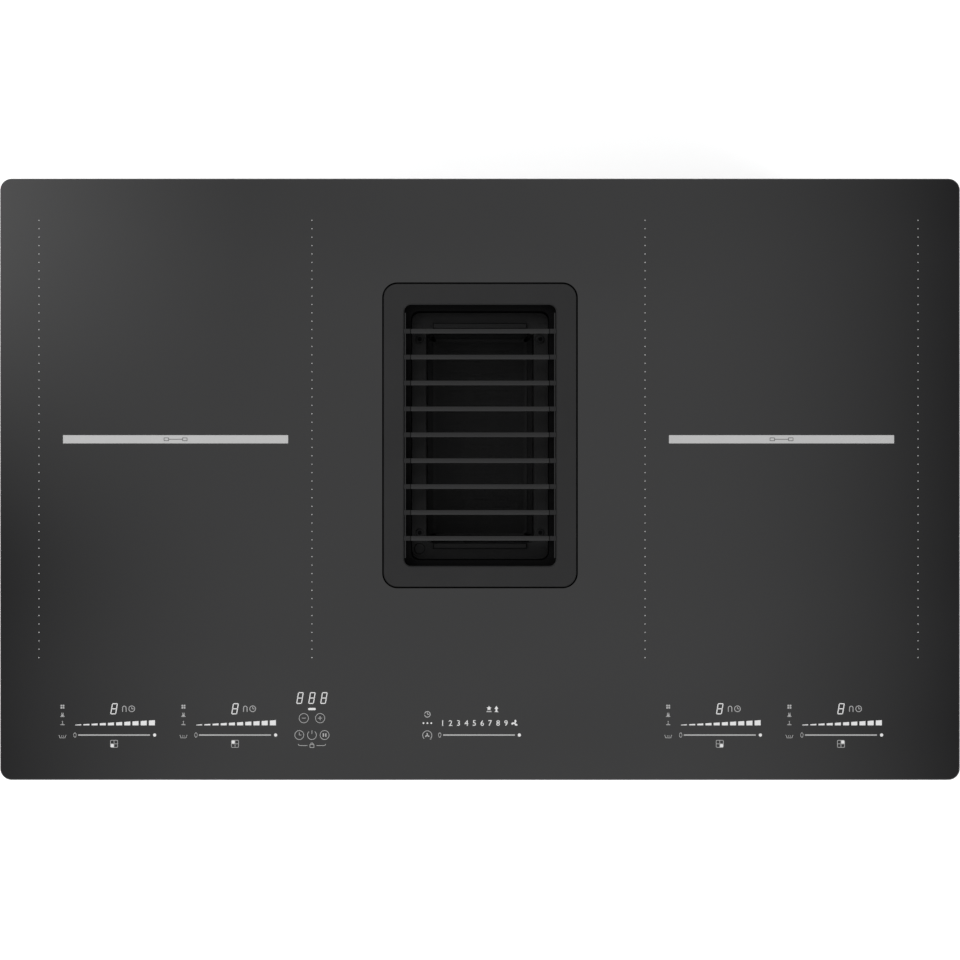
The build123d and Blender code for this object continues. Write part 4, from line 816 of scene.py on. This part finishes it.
power = {
    "middles": (-316.4, -211.8, 207.3, 312.1), "quadrants": ((-1, -1), (-1, 1), (1, -1), (1, 1)),
    "digit": (-198.4, 5.1, 9.6, 0.84, 0.17), "arch": (8.9, -198.4, 3.7, 5.2, 0.63),
    "clock": (15.3, -198.4, 5.6, 0.567), "hands": (15.3, -198.4, 0.567, 0.728, 0.0567, 0.784, 1.68),
    "slider": (-221.1, 62.2, 1.12), "dot": (35.1, -221.1, 2.8), "zero": (-33.8, -221.1, 4.3, 0.546),
    "zeroWidth": 0.6, "signX": -44.6, "heatY": (-196.6, -203.6, -210.7), "bowlY": -222.4,
    "quadrant": (-228.7, 6.6, 1.056, 0.42),
}
bright, soft = bmesh.new(), bmesh.new()
for x, filled in zip(power["middles"], power["quadrants"]):
    addEight(bright, x, *power["digit"])
    addLevelBars(bright, x, levelBars)
    addDisc(bright, *moved(x, power["dot"]))
    addQuadrants(soft, bright, x, *power["quadrant"], filled)
    addHeatMarks(soft, x + power["signX"], power["heatY"], heat)
    addBar(soft, x, *power["slider"])
    addRing(soft, *moved(x, power["zero"]), flatten=power["zeroWidth"])
    addArch(soft, *moved(x, power["arch"]))
    addRing(soft, *moved(x, power["clock"]))
    addHands(soft, *moved(x, power["hands"]))
    addBowl(soft, x + power["signX"], power["bowlY"], bowl)
finishPrint(bright, "powerSliders", "print_white")
finishPrint(soft, "powerSigns", "print_soft")
print("power controls printed")


# Timer and switches

switchSigns = {
    "powerArc": (130, 280), "powerBar": (2.46, 3.28), "cross": 3.57, "pause": (1.066, 1.066, 2.952),
    "hands": (0.902, 0.0, 1.312, 2.132),
}


def addSwitch(bm, x, y, diameter, line, kind, look):
    if kind == "power":
        rise, length = look["powerBar"]
        addRing(bm, x, y, diameter, line, *look["powerArc"])
        addBar(bm, x, y + rise, line, length)
        return
    addRing(bm, x, y, diameter, line)
    cross = look["cross"]
    if kind in ("minus", "plus"):
        addBar(bm, x, y, cross, line)
    if kind == "plus":
        for side in (-1, 1):
            addBar(bm, x, y + side * (cross + line) / 4, line, (cross - line) / 2)
    if kind == "pause":
        across, *stroke = look["pause"]
        for side in (-1, 1):
            addBar(bm, x + side * across, y, *stroke)
    if kind == "clock":
        addHands(bm, x, y, line, *look["hands"])


lock = {
    "line": 0.45, "body": (-0.8, 3.9, 3.1, 0.5), "shackle": (0.8, 2.6),
    "rail": (7.54, -0.4, 7.192), "tip": (11.484, 0.2, 1.7, 35),
}


def addLock(bm, x, y, look):  # a padlock between two rails with raised tips
    line = look["line"]
    rise, *body = look["body"]
    addRounded(bm, x, y + rise, *body, line)
    rise, diameter = look["shackle"]
    addRing(bm, x, y + rise, diameter, line, 0, 180)
    railX, railY, railLength = look["rail"]
    tipX, tipY, tipLength, tipTurn = look["tip"]
    for side in (-1, 1):
        addBar(bm, x + side * railX, y + railY, railLength, line)
        addBar(bm, x + side * tipX, y + tipY, line, tipLength, -side * tipTurn)


timer = {
    "x": -145.3, "digitPitch": 10.35, "digit": (-189.1, 4.9, 10.1, 0.82, 0.17),
    "plate": (-198.6, 6.6, 2.0, 0.9), "stepHalf": 7.05, "step": (-206.5, 8.5, 0.45),
    "switchPitch": 10.95, "switch": (-221.1, 8.2, 0.45), "lockY": -229.8,
}
bright, soft = bmesh.new(), bmesh.new()
for k in (-1, 0, 1):
    addEight(bright, timer["x"] + k * timer["digitPitch"], *timer["digit"])
addRounded(bright, timer["x"], *timer["plate"])  # a plain bar under the digits
for side, kind in ((-1, "minus"), (1, "plus")):
    addSwitch(soft, timer["x"] + side * timer["stepHalf"], *timer["step"], kind, switchSigns)
for k, kind in ((-1, "clock"), (0, "power"), (1, "pause")):
    addSwitch(soft, timer["x"] + k * timer["switchPitch"], *timer["switch"], kind, switchSigns)
addLock(soft, timer["x"], timer["lockY"], lock)
finishPrint(bright, "timerDigits", "print_white")
finishPrint(soft, "timerSigns", "print_soft")
print("timer printed")


# Extractor scale

fan = {"hub": 0.24, "reach": 0.3, "blade": (0.44, 0.28), "bladeSides": 16, "sweep": 25}


def addFanSign(bm, x, y, size, turn, look):  # three blades round a hub, in shares of the sign's size
    addDisc(bm, x, y, size * look["hub"])
    reach = size * look["reach"]
    blade = [size * share for share in look["blade"]]
    for heading in (turn, turn + 120, turn + 240):
        angle = math.radians(heading)
        middle = (x + reach * math.cos(angle), y + reach * math.sin(angle))
        addDisc(bm, *middle, *blade, look["bladeSides"], heading + look["sweep"])


extractor = {
    "firstX": -32.3, "pitch": 6.85, "number": (-210.7, 4.95),
    "fan": (30.0, -210.8, 5.9, 190), "slider": (-0.85, -221.1, 62.1, 1.12), "end": (34.0, -221.1, 2.8),
    "zero": (-34.8, -221.1, 4.3, 0.585), "zeroWidth": 0.6, "clock": (-45.5, -203.2, 5.5, 0.63, 190, 335),
    "hands": (-45.5, -203.2, 0.585, 0.715, 0.045, 0.77, 1.65),
    "dots": (-48.9, -45.5, -42.1), "dot": (-210.8, 1.5),
    "ring": (-45.6, -221.4, 8.4, 0.495, -48, 276), "ringFan": (-45.6, -221.4, 4.2, 90),
    "ringTip": (-42.828, -224.424, 1.7, 1.7, 3, 130),
    "star": (7.8, -198.0, 4.4, 5, 0.5), "starFoot": (7.8, -200.8, 4.2, 1.0),
    "arrowHead": (14.2, -197.6, 3.9, 3.4, 3), "arrowStem": (14.2, -199.3, 1.4, 1.8),
    "arrowFoot": (14.2, -200.8, 4.6, 1.6, 3),
}
bright, soft = bmesh.new(), bmesh.new()
for k, text in enumerate("123456789"):
    addNumber(bright, text, extractor["firstX"] + k * extractor["pitch"], *extractor["number"], numberLook)
addFanSign(bright, *extractor["fan"], fan)
addFanSign(soft, *extractor["ringFan"], fan)
addHands(soft, *extractor["hands"])
addStar(bright, *extractor["star"])
addRing(soft, *extractor["zero"], flatten=extractor["zeroWidth"])
for x in extractor["dots"]:  # plain dots above the ring
    addDisc(bright, x, *extractor["dot"])
for bm, name in ((bright, "end"), (bright, "arrowHead"), (bright, "arrowFoot"), (soft, "ringTip")):
    addDisc(bm, *extractor[name])
for bm, name in ((soft, "slider"), (soft, "starFoot"), (bright, "arrowStem")):
    addBar(bm, *extractor[name])
for name in ("clock", "ring"):
    addRing(soft, *extractor[name])
finishPrint(bright, "extractorScale", "print_white")
finishPrint(soft, "extractorSigns", "print_soft")
print("extractor scale printed")


# Studio

studio = {
    "floorSize": 30.0, "floorColour": (0.86, 0.86, 0.86), "floorRough": 0.9, "floorGlow": 0.42,
    "worldLight": 0.62, "cardHeight": 3.4, "cardSize": (3.4, 2.8), "aim": (0, 0, 0.15),
}


def emissionMix(tree, seenStrength, lightStrength):  # one strength for camera and gloss, one for the light
    rays = tree.nodes.new("ShaderNodeLightPath")
    seen = mathNode(tree, "MAXIMUM", rays.outputs["Is Camera Ray"], rays.outputs["Is Glossy Ray"])
    seen = mathNode(tree, "MAXIMUM", seen, rays.outputs["Is Transmission Ray"])
    return rangeNode(tree, seen, 0.0, 1.0, lightStrength, seenStrength)


world = bpy.data.worlds.new("studio")
bpy.context.scene.world = world
world.use_nodes = True
background = world.node_tree.nodes["Background"]
background.inputs["Color"].default_value = (1, 1, 1, 1)
join(world.node_tree, emissionMix(world.node_tree, 1.0, studio["worldLight"]), background.inputs["Strength"])

floorMaterial = bpy.data.materials.new("studioFloor")
floorMaterial.use_nodes = True
tree = floorMaterial.node_tree
shader = tree.nodes["Principled BSDF"]
shader.inputs["Base Color"].default_value = (*studio["floorColour"], 1)
shader.inputs["Roughness"].default_value = studio["floorRough"]
shader.inputs["Emission Color"].default_value = (1, 1, 1, 1)
join(tree, emissionMix(tree, studio["floorGlow"], 0.0), shader.inputs["Emission Strength"])

bm = bmesh.new()
bmesh.ops.create_grid(bm, x_segments=1, y_segments=1, size=studio["floorSize"] / 2)
mesh = bpy.data.meshes.new("floor")
bm.to_mesh(mesh)
bm.free()
mesh.materials.append(floorMaterial)
floor = bpy.data.objects.new("floor", mesh)
bpy.context.scene.collection.objects.link(floor)


cardLook = {
    "level": 1.08, "least": 0.3, "plain": 0.38, "leftFall": 1.5, "rightFall": 1.75, "fallPower": 2.0,
    "rear": (0.3, 0.62, 0.9), "glow": 1.5, "glowFrom": -1.02, "glowReach": 0.54, "glowPower": 1.5,
    "glowRear": (-0.25, 0.65),
}


def cardMaterial(look):  # the soft ceiling that the glass mirrors, brightest over the left rear
    material = bpy.data.materials.new("ceilingCard")
    material.use_nodes = True
    tree = material.node_tree
    tree.nodes.remove(tree.nodes["Principled BSDF"])
    light = tree.nodes.new("ShaderNodeEmission")
    place = tree.nodes.new("ShaderNodeTexCoord")
    parts = tree.nodes.new("ShaderNodeSeparateXYZ")
    join(tree, place.outputs["Object"], parts.inputs[0])
    x, y = parts.outputs["X"], parts.outputs["Y"]
    level = look["level"]
    for side, fall in ((-1, look["leftFall"]), (1, look["rightFall"])):
        beyond = mathNode(tree, "MAXIMUM", mathNode(tree, "MULTIPLY_ADD", x, side, -look["plain"]), 0.0)
        drop = mathNode(tree, "MULTIPLY", mathNode(tree, "POWER", beyond, look["fallPower"]), -fall)
        share = mathNode(tree, "MAXIMUM", mathNode(tree, "ADD", drop, 1.0), look["least"])
        level = mathNode(tree, "MULTIPLY", level, share)
    start, end, share = look["rear"]
    level = mathNode(tree, "MULTIPLY", level, rangeNode(tree, y, start, end, 1.0, share))
    near = rangeNode(tree, x, look["glowFrom"], look["glowFrom"] + look["glowReach"], 1.0, 0.0)
    glow = mathNode(tree, "MULTIPLY", mathNode(tree, "POWER", near, look["glowPower"]), look["glow"])
    back = rangeNode(tree, y, *look["glowRear"])
    back.node.interpolation_type = "SMOOTHSTEP"
    join(tree, mathNode(tree, "MULTIPLY_ADD", glow, back, level), light.inputs["Strength"])
    join(tree, light.outputs[0], tree.nodes["Material Output"].inputs["Surface"])
    return material


bm = bmesh.new()
cardShape = Matrix.Diagonal((*studio["cardSize"], 1, 1))
bmesh.ops.create_grid(bm, x_segments=1, y_segments=1, size=0.5, matrix=cardShape)
mesh = bpy.data.meshes.new("ceilingCard")
bm.to_mesh(mesh)
bm.free()
mesh.materials.append(cardMaterial(cardLook))
card = bpy.data.objects.new("ceilingCard", mesh)
card.location = (0, 0, studio["cardHeight"])
bpy.context.scene.collection.objects.link(card)
card.visible_camera = False
card.visible_diffuse = False
card.visible_shadow = False

lamps = {
    "keyLamp": {"place": (-2.4, 1.8, 2.6), "size": 1.8, "watts": 55},
    "fillLamp": {"place": (2.5, -1.6, 2.0), "size": 1.6, "watts": 26},
    "frontLamp": {"place": (-0.4, -2.1, 2.3), "size": 1.6, "watts": 26},
}
for name, look in lamps.items():
    lamp = bpy.data.lights.new(name, "AREA")
    lamp.size = look["size"]
    lamp.energy = look["watts"]
    holder = bpy.data.objects.new(name, lamp)
    holder.location = look["place"]
    heading = Vector(studio["aim"]) - Vector(look["place"])
    holder.rotation_euler = heading.to_track_quat("-Z", "Y").to_euler()
    bpy.context.scene.collection.objects.link(holder)

# The camera looks straight down, and the glass fills the width of the frame
shot = {"distance": 2.2, "sensor": 36.0, "frameWidth": glassHigh.x - glassLow.x, "y": -0.0006}
camera = bpy.data.cameras.new("camera")
camera.sensor_width = shot["sensor"]
camera.lens = shot["sensor"] * shot["distance"] / shot["frameWidth"]
cameraHolder = bpy.data.objects.new("camera", camera)
cameraHolder.location = (0, shot["y"], glassHigh.z + shot["distance"])
bpy.context.scene.collection.objects.link(cameraHolder)
bpy.context.scene.camera = cameraHolder
bpy.context.scene.view_settings.view_transform = "Standard"
print("studio set")
